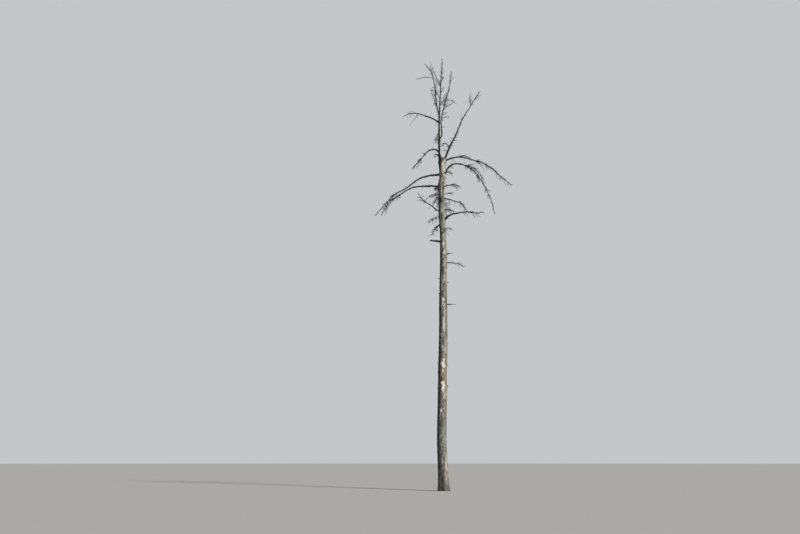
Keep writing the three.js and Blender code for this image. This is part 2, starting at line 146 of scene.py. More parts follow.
# Each arm is one curve from its carrier to its furthest tip: the limb takes the first share of it
# and the stem of its twigs the rest. A share of 1 is a bare stub and 0 a tuft on the trunk.
# What is "seen" of a fork takes the place of the solid's values when it is drawn. "stouter" says how
# much thicker or thinner than its solid an arm is drawn, and "bulge" how far it bends to the right and
# up, where and how widely.
arms = [
    arm("main_leader", 16.25, 0, 0.17, 5.75, (93, 87), 0.112, 0.72, aside=-0.13, habit="upright",
        forks=[fork(0.06, 0, 28, 1.25, 0.05, seen={"thick": 0.030})]),
    arm("right_leader", 17.5, 348, 0.67, 3.76, (92, 85), 0.062, 0.46, on="main_leader", habit="upright",
        bulge=(0.12, 0, 0.10, 0.12),
        forks=[fork(0.04, 180, 46, 0.64, -0.12), fork(0.03, 10, 14, 0.76, 0.1),
               fork(0.72, 180, 24, 0.33, 0.1)]),
    arm("left_leader", 18.9, 165, 0.73, 2.88, (72, 46), 0.064, 0.6, on="main_leader", habit="upright",
        forks=[fork(0.2, 175, 58, 0.93, -0.18, seen={"turn": 158, "lean": 72, "thick": 0.030}),
               fork(0.5, 0, 22, 0.56, 0.1)]),
    arm("rising_bough", 16.45, 15, 2.04, 4.0, (66, 55), 0.092, 0.76, aside=0.07, habit="upright",
        forks=[fork(0.08, 5, 26, 0.7, 0.1), fork(0.5, 180, 24, 0.52, 0.05)]),
    arm("left_upper", 18.5, 172, 1.86, 0.37, (32, -40), 0.068, 0.5, on="main_leader", stouter=1.12,
        forks=[fork(0.06, 180, 48, 0.82, -0.25, seen={"lean": 50, "length": 0.9, "bend": -0.36})]),
    arm("left_collar", 16.92, 205, 1.55, -1.13, (38, -45), 0.072, 0.55, on="main_leader"),
    arm("left_long", 15.7, 190, 3.37, -2.32, (-3, -53), 0.084, 0.58, bulge=(0, -0.09, 0.48, 0.16),
        forks=[fork(0.45, 170, 28, 0.62, -0.15)]),
    arm("left_second", 15.05, 164, 3.16, -1.24, (17, -64), 0.076, 0.56, stouter=1.12,
        bulge=(0, 0.07, 0.50, 0.16),
        forks=[fork(0.6, 180, 24, 0.56, -0.15)]),
    arm("left_rising", 13.67, 215, 1.41, 0.79, (35, 57), 0.062, 0.52),
    arm("right_long", 16.42, 350, 3.4, -1.49, (27, -48), 0.08, 0.54, stouter=0.86,
        forks=[fork(0.7, 180, 34, 0.42, -0.1)]),
    arm("right_second", 15.4, 14, 2.75, -1.61, (80, -80), 0.076, 0.42, pulls=(0.55, 0.85), stouter=1.08,
        forks=[fork(0.05, 0, 14, 1.05, -0.3,
                    seen={"lean": 20, "length": 1.42, "bend": -0.56, "thick": 0.052})]),
    arm("right_level", 13.18, 335, 2.16, 0.3, (69, 0), 0.074, 0.56, stouter=1.2,
        forks=[fork(0.6, 180, 40, 0.38, -0.1)]),
    arm("right_middle", 14.48, 50, 2.07, -0.29, (2, -50), 0.06, 0.55),
    arm("right_short", 15.01, 305, 1.33, -0.29, (2, -41), 0.056, 0.45,
        forks=[fork(0.1, 120, 30, 0.48, -0.1)]),
    arm("right_low", 11.11, 40, 1.34, -0.02, (14, -19), 0.052, 0.5),
    arm("back_upper", 17.85, 96, 1.25, -0.06, (35, -32), 0.054, 0.5, on="main_leader", stouter=0.8),
    arm("front_upper", 17.35, 260, 1.25, -0.36, (15, -45), 0.054, 0.5, on="main_leader", stouter=0.6),
    arm("back_long", 16.05, 93, 2.75, -1.35, (20, -52), 0.078, 0.56, forks=[fork(0.5, 170, 30, 0.56, -0.15)]),
    arm("front_long", 15.6, 270, 2.6, -1.45, (12, -55), 0.076, 0.56,
        forks=[fork(0.55, 180, 28, 0.52, -0.15)]),
    arm("back_second", 14.85, 81, 2.25, -0.9, (15, -50), 0.066, 0.55),
    arm("front_second", 14.25, 257, 1.95, -0.65, (12, -48), 0.064, 0.55),
    arm("back_low", 13.05, 108, 1.5, -0.18, (30, -30), 0.056, 0.5),
    arm("front_low", 12.6, 284, 1.35, -0.12, (34, -28), 0.052, 0.5),
    arm("left_stub", 12.2, 172, 0.57, 0.08, (9, 6), 0.062, 1, stouter=1.25),
    arm("left_hooked_stub", 14.83, 228, 0.46, -0.06, (55, -70), 0.064, 1, stouter=1.15),
    arm("left_low_stub", 13.01, 150, 0.36, -0.06, (30, -50), 0.042, 1),
    arm("right_stub", 11.5, 330, 0.25, 0.06, (30, 0), 0.046, 1),
    arm("right_low_stub", 8.98, 352, 0.32, 0.02, (12, -5), 0.044, 1),
    arm("right_tuft", 15.72, 305, 0.76, -0.16, (10, -30), 0.03, 0),
    arm("right_middle_tuft", 14.62, 340, 0.52, 0.03, (20, -15), 0.028, 0),
    arm("right_curled_tuft", 13.8, 22, 0.6, -0.03, (45, -70), 0.03, 0),
    arm("left_tuft", 14.65, 196, 0.6, -0.13, (5, -30), 0.03, 0),
    arm("left_collar_tuft", 16.6, 215, 0.42, -0.06, (45, -60), 0.03, 0),
    arm("left_low_tuft", 13.52, 138, 0.8, -0.16, (5, -25), 0.028, 0),
]


def seeded(seed):
    # the same draws from 0 to 1 as the solids'
    full, step = 0xFFFFFFFF, 0x6D2B79F5
    state = seed & full

    def draw():
        nonlocal state
        state = (state + step) & full
        bits = ((state ^ (state >> 15)) * (state | 1)) & full
        bits ^= (bits + (bits ^ (bits >> 7)) * (bits | 61)) & full
        return (bits ^ (bits >> 14)) / (full + 1)

    return draw


def between(pair, share):
    return pair[0] + (pair[1] - pair[0]) * share


def eased(share):
    s = min(1, max(0, share))
    return s * s * (3 - 2 * s)


def bell(x, y=0):
    return math.exp(-x * x - y * y)


def bump(height, spot):
    return spot["size"] * bell((height - spot["height"]) / spot["reach"])


def headingAt(angle):
    return Vector((math.cos(angle), math.sin(angle), 0))


def slope(degrees, heading, length):
    tilt = math.radians(degrees)
    return heading * (length * math.cos(tilt)) + up * (length * math.sin(tilt))


def trunkAxis(height):
    above = max(1, next((i for i, row in enumerate(trunkLean) if row[0] >= height), len(trunkLean) - 1))
    low, high = trunkLean[above - 1], trunkLean[above]
    share = eased((height - low[0]) / (high[0] - low[0]))
    return Vector((between((low[1], high[1]), share), between((low[2], high[2]), share), height))


def trunkRadius(height, angle=0.0):
    wood = trunk["woodDiameter"] * (1 - (height / trunk["taperHeight"]) ** trunk["taperPower"])
    skin = 2 * trunk["barkThickness"] * (1 - eased((height - trunk["barkTop"]) / trunk["barkEdge"]))
    flare = math.exp(-height / trunk["flareHeight"])
    lobes = trunk["buttressDepth"] * flare * math.cos(trunk["buttresses"] * angle)
    uneven = trunk["unevenness"] * math.sin(3 * angle + height / trunk["unevenTurn"])
    swollen = bump(height, trunk["swelling"]) + bump(height, trunk["collar"])
    return (wood + skin + trunk["flare"] * flare + swollen) / 2 * (1 + lobes + uneven)


def carrierAt(spec, grown):
    if "on" not in spec:
        return trunkAxis(spec["height"]), trunkRadius(spec["height"])
    points, radii = grown[spec["on"]]["run"]
    i = max(1, next(i for i, point in enumerate(points) if point.z >= spec["height"]))
    share = (spec["height"] - points[i - 1].z) / (points[i].z - points[i - 1].z)
    return points[i - 1].lerp(points[i], share), radii[i]


def armCurve(spec, grown, random):
    # the arm's whole curve, as a function from 0 at its carrier to 1 at its tip
    heading = headingAt(math.radians(spec["bearing"]))
    side = up.cross(heading)
    middle, radius = carrierAt(spec, grown)
    start = middle + heading * (limb["rootDepth"] * radius)
    if "aside" in spec:
        start = Vector((trunkAxis(spec["height"]).x + spec["aside"], start.y, spec["height"]))
    end = start + heading * spec["reach"] + up * spec["rise"]
    chord = (end - start).length
    rootPull, tipPull = spec.get("pulls", (limb["pull"], limb["pull"]))
    rootHandle = start + slope(spec["slopes"][0], heading, rootPull * chord)
    tipHandle = end - slope(spec["slopes"][1], heading, tipPull * chord)
    first, second = 2 * math.pi * random(), 2 * math.pi * random()

    def at(share):
        rest = 1 - share
        swing = limb["crook"] * chord * math.sin(math.pi * share)
        return (start * rest ** 3 + rootHandle * (3 * rest * rest * share)
                + tipHandle * (3 * rest * share * share) + end * share ** 3
                + side * (swing * math.sin(limb["crookTurns"][0] * share + first))
                + up * (limb["crookRise"] * swing * math.sin(limb["crookTurns"][1] * share + second)))

    return at, chord, side


def armRadius(spec, chord, share):
    taper = between((spec["diameter"], limb["tipDiameter"]), share ** limb["taperPower"]) / 2
    collar = limb["collarSize"] * math.exp(-share * chord / (limb["collarReach"] * spec["diameter"]))
    return taper * (1 + collar)


def runAlong(spec, at, chord, first, last, segments):
    shares = [first + (last - first) * i / segments for i in range(segments + 1)]
    return [at(share) for share in shares], [armRadius(spec, chord, share) for share in shares]


def twigRun(stem, side, spec, segments, size=twig, kink=0.0, random=None):
    # it starts on its stem's axis, leans off it and bends up or down as it goes
    points, radii = stem
    last = len(points) - 1
    index = min(last - 1, int(spec["at"] * last))
    within = spec["at"] * last - index
    along = (points[index + 1] - points[index]).normalized()
    over = along.cross(side).normalized()
    tilt, turn = math.radians(spec["lean"]), math.radians(spec["turn"])
    direction = (along * math.cos(tilt) + over * (math.sin(tilt) * math.cos(turn))
                 + side * (math.sin(tilt) * math.sin(turn)))
    girth = between((radii[index], radii[index + 1]), within)
    thick = min(size["thickest"], max(size["thinnest"], 2 * girth * size["girth"])) / 2
    thick = min(thick, girth * size.get("most", 10))
    if "thick" in spec:
        thick = spec["thick"] / 2
    run = [points[index].lerp(points[index + 1], within)]
    for i in range(segments):
        direction = direction + up * (spec["bend"] * twig["segments"] / segments)
        if kink and i:
            direction += Vector((random() - 0.5, random() - 0.5, random() - 0.5)) * kink
        direction.normalize()
        run.append(run[-1] + direction * (spec["length"] / segments))
    return run, [thick * (1 - i / segments) ** size["taperPower"] for i in range(segments + 1)]


def runLength(points):
    return sum((b - a).length for a, b in zip(points, points[1:]))


def twigSpecs(length, habit, random):
    # how the twigs of one stem stand on it
    count = round(length / habit["spacing"])
    specs = []
    for i in range(count):
        at = between(twig["stretch"], (i + random()) / count)
        turn = (90 if i % 2 else -90) + habit["turnSpread"] * (random() - 0.5)
        lean = between(habit["lean"], random())
        reach = habit["length"] * (1 - twig["tipShortening"] * at) * between(twig["lengths"], random())
        specs.append(fork(at, turn, lean, reach, habit["bend"] * between(twig["bends"], random())))
    return specs


class Taken:
    # the straight pieces of wood that already stand, for a twig to keep clear of
    def __init__(self):
        self.owners, self.starts, self.ends, self.radii = [], [], [], []

    def add(self, run, owner):
        points, radii = run
        for a, b, radius in zip(points, points[1:], radii):
            self.owners.append(owner)
            self.starts.append(a[:])
            self.ends.append(b[:])
            self.radii.append(radius)

    def touches(self, run, owner, room):
        others = np.array([name != owner for name in self.owners])
        c, d = np.array(self.starts)[others], np.array(self.ends)[others]
        radii = np.array(self.radii)[others]
        points, thick = run
        for a, b, own in zip(points, points[1:], thick):
            if (gaps(np.array(a), np.array(b), c, d) < own + radii + room).any():
                return True
        return False


def gaps(a, b, c, d):
    # least distances from the straight piece a to b to each of the pieces c to d
    ab, cd, ac = b - a, d - c, a - c
    abab, cdcd = ab @ ab, (cd * cd).sum(1)
    abcd, abac, cdac = cd @ ab, ac @ ab, (cd * ac).sum(1)
    skew = abab * cdcd - abcd * abcd
    parallel = skew <= 1e-18
    s = np.where(parallel, 0, np.clip((abcd * cdac - abac * cdcd) / np.where(parallel, 1, skew), 0, 1))
    t = np.clip((abcd * s + cdac) / cdcd, 0, 1)
    s = np.clip((abcd * t - abac) / abab, 0, 1)
    return np.linalg.norm(ac + s[:, None] * ab - t[:, None] * cd, axis=1)


# All limbs first, then all stems, then the twigs of each mass, as the solids grow.
taken = Taken()
pieces = growth["trunkPieces"]
heights = [trunk["top"] * i / pieces for i in range(pieces + 1)]
taken.add(([trunkAxis(h) for h in heights], [trunkRadius(h) for h in heights]), "trunk")
grown = {}
for number, spec in enumerate(arms):
    random = seeded(seeds["arms"] + number)
    at, chord, side = armCurve(spec, grown, random)
    grown[spec["name"]] = {"spec": spec, "at": at, "chord": chord, "side": side, "random": random}
    if spec["share"] > 0:
        segments = limb["stubSegments"] if spec["share"] == 1 else limb["segments"]
        run = runAlong(spec, at, chord, 0, spec["share"], segments)
        grown[spec["name"]]["run"] = run
        taken.add(run, spec["name"])
masses = [one for one in grown.values() if one["spec"]["share"] < 1]
for mass in masses:
    spec = mass["spec"]
    mass["stem"] = runAlong(spec, mass["at"], mass["chord"], spec["share"], 1, limb["stemSegments"])
    taken.add(mass["stem"], spec["name"])
kept = 0
for mass in masses:
    spec, stem = mass["spec"], mass["stem"]
    habit = habits[spec.get("habit", "spreading")]
    forks = spec.get("forks", [])
    specs = [(one, twig["forkSegments"]) for one in forks]
    for one in twigSpecs(runLength(stem[0]), habit, mass["random"]):
        tip = twigRun(stem, mass["side"], one, twig["segments"])[0][-1]
        if min((point - tip).length for point in stem[0]) <= growth["room"] * habit["length"]:
            specs.append((one, twig["segments"]))
    mass["twigs"] = []
    for one, segments in specs:
        run = twigRun(stem, mass["side"], one, segments)
        if not taken.touches(run, spec["name"], growth["swayRoom"]):
            taken.add(run, spec["name"])
            mass["twigs"].append(one)
    kept += len(mass["twigs"])
print("rule grown:", len(masses), "masses,", kept, "twigs and forks kept")

# Materials

woodSheen = 0.3


def newMaterial(name, roughness, colour=(0.8, 0.8, 0.8)):
    material = bpy.data.materials.new(name)
    material.use_nodes = True
    shader = material.node_tree.nodes["Principled BSDF"]
    shader.inputs["Base Color"].default_value = (*colour, 1)
    shader.inputs["Roughness"].default_value = roughness
    shader.inputs["Specular IOR Level"].default_value = woodSheen
    return material, shader


def feed(socket, value):
    # a link from another socket, or a plain value
    if isinstance(value, bpy.types.NodeSocket):
        socket.id_data.links.new(value, socket)
    else:
        socket.default_value = value


def addNode(tree, kind, inputs=None, **settings):
    node = tree.nodes.new(kind)
    for name, value in settings.items():
        setattr(node, name, value)
    for name, value in (inputs or {}).items():
        feed(node.inputs[name], value)
    return node


# Each of the next functions adds its node to the tree that its first socket is in.
def partsOf(vector):
    return addNode(vector.id_data, "ShaderNodeSeparateXYZ", {"Vector": vector}).outputs


def stretched(source, scale):
    return addNode(source.id_data, "ShaderNodeMapping", {"Vector": source, "Scale": scale}).outputs["Vector"]


def noiseOf(vector, scale, detail=4.0, rough=0.55):
    # a scale of three numbers stretches the pattern
    if isinstance(scale, tuple):
        vector, scale = stretched(vector, scale), 1
    return addNode(vector.id_data, "ShaderNodeTexNoise", {
        "Vector": vector, "Scale": scale, "Detail": detail, "Roughness": rough}).outputs["Fac"]


def ramp(value, stops):
    node = addNode(value.id_data, "ShaderNodeValToRGB", {"Fac": value})
    elements = node.color_ramp.elements
    while len(elements) < len(stops):
        elements.new(0.5)
    for element, (position, colour) in zip(elements, stops):
        element.position = position
        element.color = (*colour, 1)
    return node.outputs["Color"]


def mixed(share, first, second):
    node = addNode(share.id_data, "ShaderNodeMix", data_type="RGBA")
    for index, value in ((0, share), (6, first), (7, second)):
        feed(node.inputs[index], (*value, 1) if isinstance(value, tuple) else value)
    return node.outputs[2]


def ranged(value, low, high, first=0.0, last=1.0):
    return addNode(value.id_data, "ShaderNodeMapRange", {
        "Value": value, "From Min": low, "From Max": high, "To Min": first, "To Max": last,
    }, interpolation_type="SMOOTHSTEP").outputs["Result"]


def times(first, second, how="MULTIPLY"):
    inputs = {0: first, 1: second}
    return addNode(first.id_data, "ShaderNodeMath", inputs, operation=how, use_clamp=True).outputs["Value"]


def scaledSum(value, factor, more):
    inputs = {0: value, 1: factor, 2: more}
    return addNode(value.id_data, "ShaderNodeMath", inputs, operation="MULTIPLY_ADD").outputs["Value"]


def band(value, begins, full, fullTo, gone):
    # 1 between two values, fading out below and above them
    return times(ranged(value, begins, full), ranged(value, gone, fullTo))


def addBump(shader, relief, strength, distance):
    bumped = addNode(relief.id_data, "ShaderNodeBump", {
        "Strength": strength, "Distance": distance, "Height": relief})
    feed(shader.inputs["Normal"], bumped.outputs["Normal"])


trunkColours = {
    "fresh": (0.84, 0.79, 0.67),          # wood that was bared last
    "cream": (0.72, 0.68, 0.575),         # sun-bleached wood
    "silver": (0.40, 0.40, 0.36),
    "grey": (0.245, 0.268, 0.235),       # weathered longest, below the crown
    "streak": (0.14, 0.13, 0.108),
    "barkPale": (0.50, 0.49, 0.43),
    "barkGrey": (0.24, 0.232, 0.20),
    "barkBrown": (0.090, 0.080, 0.063),
    "innerBark": (0.45, 0.315, 0.225),    # pinkish, where the outer bark has come off
    "paintedEdgeShade": (0.22, 0.178, 0.120),    # painted shade along the right-facing edge, a tan brown
    # painted shade in cracks, checks, scar pits, dents and the broken top
    "crackShadeColour": (0.026, 0.024, 0.020),
    # the next two are painted shade on the left side, dealt out by the bark's mottle
    "paintedShadeDark": (0.027, 0.029, 0.024),   # painted shade, its darkest
    "paintedShadeLight": (0.100, 0.098, 0.084),
    "rotten": (0.050, 0.040, 0.032),      # of the broken top
    "algae": (0.105, 0.135, 0.102),
}
trunkLayers = ("bark", "hollow", "fresh")   # what the trunk's mesh says of each of its points
# heights where the trunk turns darker and greener all round: height, how far up and down, and how much
darkerGreenerBands = [(12.8, 0.55, 0.55), (12.15, 0.4, 0.25), (14.1, 1.0, 0.25), (4.1, 0.35, 0.16),
               (3.05, 0.5, 0.42), (0.3, 0.5, 0.3)]
# heights between which each look comes in, and for a band those between which it goes again
trunkHeights = {
    "greyed": (11.6, 12.3, 14.4, 15.1),
    "innerBark": (3.9, 4.6, 6.2, 6.9),
    "innerBarkAtFoot": (1.3, 0.8),
    "soiled": (0.65, 0.10),
    # the next two set where the painted shade along the right edge comes in
    "tanned": (0.9, 2.4),
    "edgeShadeDeeper": (15.2, 12.5),
    # the next three set the painted shade: where it deepens below the crown, where that thins out higher up,
    # and at the foot
    "paintedShadeUnderCrown": (11.9, 12.7),
    "paintedShadeFadesAbove": (15.2, 14.1),
    "paintedShadeAtFoot": (3.4, 0.4),
    "rotten": (16.47, 16.63),
}


def trunkMaterial():
    c, at = trunkColours, trunkHeights
    material, shader = newMaterial("weatheredTrunk", 0.85)
    tree = material.node_tree
    place = addNode(tree, "ShaderNodeTexCoord")
    position = place.outputs["Object"]
    spot, facing = partsOf(position), partsOf(place.outputs["Normal"])
    across, height, aspect, behind = spot["X"], spot["Z"], facing["X"], facing["Y"]
    cover, hollow, fresh = (
        addNode(tree, "ShaderNodeAttribute", attribute_name=name).outputs["Fac"] for name in trunkLayers)

    grain = noiseOf(position, (14, 14, 0.7), 5, 0.6)
    fineGrain = noiseOf(position, (90, 90, 3.5), 4, 0.6)
    broad = noiseOf(position, (1.3, 1.3, 0.5), 3)
    wood = ramp(grain, [(0.33, c["streak"]), (0.43, c["silver"]), (0.56, c["cream"])])
    wood = mixed(ranged(broad, 0.42, 0.66, 0, 0.55), wood, c["silver"])
    greyed = times(band(height, *at["greyed"]), ranged(broad, 0.3, 0.7, 0.55, 0.9))
    wood = mixed(greyed, wood, c["grey"])
    wood = mixed(ranged(fineGrain, 0.36, 0.5, 0.5, 0), wood, c["streak"])

    plates = addNode(tree, "ShaderNodeTexVoronoi", {
        "Vector": stretched(position, (15, 15, 5)), "Scale": 1.0, "Randomness": 0.9})
    plateTone = addNode(tree, "ShaderNodeSeparateColor", {"Color": plates.outputs["Color"]}).outputs["Red"]
    mottle = noiseOf(position, (9, 9, 4), 5, 0.65)
    bark = ramp(mottle, [(0.36, c["barkBrown"]), (0.47, c["barkGrey"]), (0.60, c["barkPale"])])
    bark = mixed(ranged(plateTone, 0.2, 1, 0, 0.5), bark, c["barkPale"])
    weather = noiseOf(position, (2.4, 2.4, 0.8))
    bark = mixed(ranged(weather, 0.54, 0.40, 0, 0.55), bark, c["barkBrown"])
    patchy = ranged(noiseOf(position, (6.5, 6.5, 2.4)), 0.50, 0.58)
    patchy = times(patchy, ranged(aspect, 0.65, -0.15, 0, 0.8))
    bark = mixed(patchy, bark, c["barkBrown"])
    warm = ranged(noiseOf(position, (3, 3, 1.6)), 0.42, 0.58)
    warm = times(band(height, *at["innerBark"]), warm)
    foot = times(ranged(height, *at["innerBarkAtFoot"]), ranged(mottle, 0.46, 0.6))
    inner = times(times(warm, 0.7), times(foot, 0.3), "MAXIMUM")
    bark = mixed(inner, bark, c["innerBark"])

    ragged = noiseOf(position, (40, 40, 14), 4, 0.6)
    edge = times(cover, ranged(ragged, 0.3, 0.7, -0.25, 0.25), "ADD")
    colour = mixed(ranged(edge, 0.42, 0.58), wood, bark)
    rim = band(edge, 0.2, 0.45, 0.6, 0.85)
    colour = mixed(times(rim, 0.5), colour, c["innerBark"])
    # painted shade: a tan brown darkens the right-facing edge, from a little above the foot, more below the
    # crown than near the top
    rightEdgeShade = times(ranged(aspect, 0.55, 0.92), ranged(weather, 0.3, 0.7, 1, 0.6))
    rightEdgeShade = times(rightEdgeShade, ranged(height, *at["tanned"]))
    rightEdgeShade = times(rightEdgeShade, ranged(height, *at["edgeShadeDeeper"], 0.25, 0.7))
    colour = mixed(rightEdgeShade, colour, c["paintedEdgeShade"])
    colour = mixed(ranged(height, *at["soiled"], 0, 0.68), colour, c["barkBrown"])
    for middle, far, much in darkerGreenerBands:
        greenerBand = band(height, middle - far, middle, middle, middle + far)
        colour = mixed(times(greenerBand, much), colour, c["algae"])
    colour = mixed(fresh, colour, c["fresh"])
    # painted shade in the cracks, checks, pits and the broken top
    colour = mixed(times(hollow, 0.85), colour, c["crackShadeColour"])

    # painted shade: the left side is painted dark, more so below the crown and at the foot, less on the back
    # and on fresh wood
    mottled, weathered = (ranged(source, 0.3, 0.7, 0, 0.12) for source in (mottle, weather))
    paintedShadeMask = scaledSum(aspect, -1, times(mottled, weathered, "ADD"))
    low = times(ranged(height, *at["paintedShadeUnderCrown"], 0, 0.30),
                ranged(height, *at["paintedShadeFadesAbove"], 0.2, 1))
    low = times(low, ranged(height, *at["paintedShadeAtFoot"], 0, 0.46), "ADD")
    paintedShadeMask = times(paintedShadeMask, low, "ADD")
    shade = times(ranged(paintedShadeMask, 0.33, 0.57), ranged(behind, 0.1, 0.8, 0.93, 0.5))
    shade = times(shade, ranged(fresh, 0.1, 0.9, 1, 0.25))
    paintedShadeBark = ramp(mottle, [(0.38, c["paintedShadeDark"]), (0.64, c["paintedShadeLight"])])
    colour = mixed(shade, colour, paintedShadeBark)
    # the broken top turns dark, further down on its left than on its right
    top = scaledSum(grain, 0.5, scaledSum(across, -0.7, height))
    colour = mixed(ranged(top, *at["rotten"], 0, 0.92), colour, c["rotten"])
    feed(shader.inputs["Base Color"], colour)

    relief = times(times(grain, 0.6), times(fineGrain, 0.4), "ADD")
    cracks = addNode(tree, "ShaderNodeTexVoronoi", {
        "Vector": stretched(position, (26, 26, 9)), "Scale": 1.0}, feature="DISTANCE_TO_EDGE")
    flakes = times(ranged(cracks.outputs["Distance"], 0, 0.12), mottle)
    surface = addNode(tree, "ShaderNodeMix", {0: cover, 2: relief, 3: flakes}, data_type="FLOAT")
    addBump(shader, surface.outputs[0], 0.7, 0.012)
    feed(shader.inputs["Roughness"], ranged(fineGrain, 0.3, 0.7, 0.95, 0.75))
    return material


boughColours = {
    "weatheredBough": {
        "wood": (0.038, 0.034, 0.029),
        "bleached": (0.095, 0.088, 0.076),
        "bark": (0.022, 0.019, 0.016),
        "crack": (0.007, 0.006, 0.005),
        "lichen": (0.068, 0.073, 0.057),
    },
    "bleachedBough": {
        "wood": (0.47, 0.445, 0.38),
        "bleached": (0.68, 0.64, 0.55),
        "bark": (0.36, 0.34, 0.29),
        "crack": (0.11, 0.10, 0.08),
        "lichen": (0.27, 0.27, 0.215),
    },
}


def boughMaterial(name):
    c = boughColours[name]
    material, shader = newMaterial(name, 0.88)
    tree = material.node_tree
    place = addNode(tree, "ShaderNodeTexCoord")
    grainMap = addNode(tree, "ShaderNodeUVMap", uv_map="grain").outputs["UV"]
    facing = partsOf(place.outputs["Normal"])
    grain = noiseOf(grainMap, (55, 4, 1), 5, 0.6)
    fineGrain = noiseOf(grainMap, (220, 14, 1), 3, 0.6)
    patches = noiseOf(place.outputs["Object"], 6, 5, 0.6)
    wood = ramp(grain, [(0.38, c["bark"]), (0.53, c["wood"]), (0.74, c["bleached"])])
    flaking = noiseOf(grainMap, (70, 26, 1), 4, 0.6)
    bark = ramp(flaking, [(0.40, c["crack"]), (0.50, c["bark"]), (0.68, c["wood"])])
    colour = mixed(ranged(patches, 0.47, 0.53), wood, bark)
    bleach = times(ranged(facing["X"], 0.1, 0.9), ranged(patches, 0.6, 0.45))
    colour = mixed(times(bleach, 0.35), colour, c["bleached"])
    lichen = times(ranged(noiseOf(place.outputs["Object"], 19, 4, 0.6), 0.56, 0.62),
                   ranged(facing["Z"], -0.2, 0.6))
    colour = mixed(times(lichen, 0.5), colour, c["lichen"])
    feed(shader.inputs["Base Color"], colour)
    relief = times(times(grain, 0.6), times(fineGrain, 0.4), "ADD")
    flakes = times(ranged(flaking, 0.38, 0.56), ranged(patches, 0.45, 0.52, 0, 0.6))
    relief = times(times(relief, 0.6), flakes, "ADD")
    addBump(shader, relief, 0.8, 0.007)
    return material


# Twigs are too thin for a pattern, so each spray of them is dealt one of these plain shades.
twigShades = [
    {"name": "darkTwig", "colour": (0.022, 0.019, 0.016), "weight": 0.46},
    {"name": "greyTwig", "colour": (0.042, 0.038, 0.033), "weight": 0.34},
    {"name": "russetTwig", "colour": (0.046, 0.031, 0.023), "weight": 0.12},
    {"name": "paleTwig", "colour": (0.092, 0.084, 0.072), "weight": 0.08},
    {"name": "bleachedTwig", "colour": (0.52, 0.485, 0.41), "weight": 0},
]
bleachedWeights = (0.02, 0.08, 0.03, 0.37, 0.50)   # the same shades on an arm of bleached wood
# arms that have lost their bark, as the trunk behind them has
bleachedArms = ("front_long", "front_low", "back_second")


trunkWood = trunkMaterial()
boughWood, bleachedWood = (boughMaterial(name) for name in boughColours)
twigWoods = [newMaterial(shade["name"], 0.9, shade["colour"])[0] for shade in twigShades]
print("materials ready")

# Trunk and boughs


def rollUp(bm, sides, rings, place):
    # rolls a flat grid up into a closed tube, with each point where place puts it
    for vert in bm.verts:
        side = round((vert.co.x + 1) / 2 * sides) % sides
        place(vert, 2 * math.pi * side / sides, round((vert.co.y + 1) / 2 * rings))
    bmesh.ops.remove_doubles(bm, verts=bm.verts, dist=1e-6)
    bmesh.ops.holes_fill(bm, edges=[edge for edge in bm.edges if edge.is_boundary], sides=0)
    bmesh.ops.recalc_face_normals(bm, faces=bm.faces)


def addObject(name, data):
    made = bpy.data.objects.new(name, data)
    bpy.context.scene.collection.objects.link(made)
    return made


def addPiece(name, mesh, materials, slot, *nodes):
    piece = addObject(name, mesh)
    for material in materials:
        mesh.materials.append(material)
    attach(piece, "root")
    if nodes:
        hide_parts(*nodes)


def pieceName(node, ending=""):
    first, *others = node.split("_")
    return first + "".join(part.capitalize() for part in others) + ending


def meshFrom(bm, name):
    mesh = bpy.data.meshes.new(name)
    bm.to_mesh(mesh)
    bm.free()
    return mesh


trunkSkin = {
    "sides": 128,
    "rings": 680,
    "breakRings": 14,             # of them, across the broken top
    "twist": 0.045,               # how the grain turns round the trunk, radians to the metre
    "flutes": (1.9, 0.5, 0.006),  # broad waves in the wood: round, along, depth
    "ridges": (5.5, 1.0, 0.0028),
    "plates": (16, 6.2),          # bark plates to the metre, round and along
    "plateWarp": 0.55,            # how far their outlines wander, in plates
    "plateDepth": 0.007,
    "plateLift": 0.0045,          # how far a plate's lower end stands off
    "flakeDepth": 0.004,
    "scales": (34, 15, 0.0016),   # small flakes on the plates: round, along, depth
    "bareDepth": 0.013,
    "barePatches": ((2.6, 1.1, 1), (7, 4, 0.35)),   # natural bare patches, in two layers of noise
    "patchEdge": (0.27, 0.10, 0.07),   # where they begin, how much rarer at the foot, and their edge
    "edgeWander": (1.7, 0.35, 0.9),    # of the upper edge of the bark: round, along, how far
    "edgeFade": 0.2,                   # and over what height the bark thins out there
    "underBark": 0.4,                  # how much of the wood's shape shows through the bark
    "splinters": 0.11,
    "breakHollow": 0.17,
    "breakRough": (40, 0.07),          # inside the broken top: how fine, and how deep
    "breakReach": 0.35,                # how far below the top its splinters begin
}
# The shapes of the marks on the trunk. A reach is how far from its middle a mark is looked for, and a
# width, a swell or a depth without a unit is a share of the mark's own size.
marks = {
    "bare": {"reach": 1.3, "ragged": ((9, 5, 0.50), (22, 9, 0.40)), "streaks": (30, 2.5, 0.8),
             "bark": (0.62, 0.2), "fresh": (0.66, 0.35)},
    "check": {"width": 0.009, "sway": 0.03, "swayRate": 2.3, "fade": 0.5},
    "collar": {"reach": 4, "swell": 0.30, "tall": 1.35},
    # the "dark" of a scar or a dent is how much painted shade its pit gets
    "scar": {"reach": 3, "flat": 0.8, "swell": 0.45, "pit": 1.1, "pitWidth": 0.45, "dark": 0.9,
             "darkWidth": 0.4, "bark": (0.7, 0.5)},
    "dent": {"reach": 2.5, "depth": 0.4, "dark": 1.2},
}

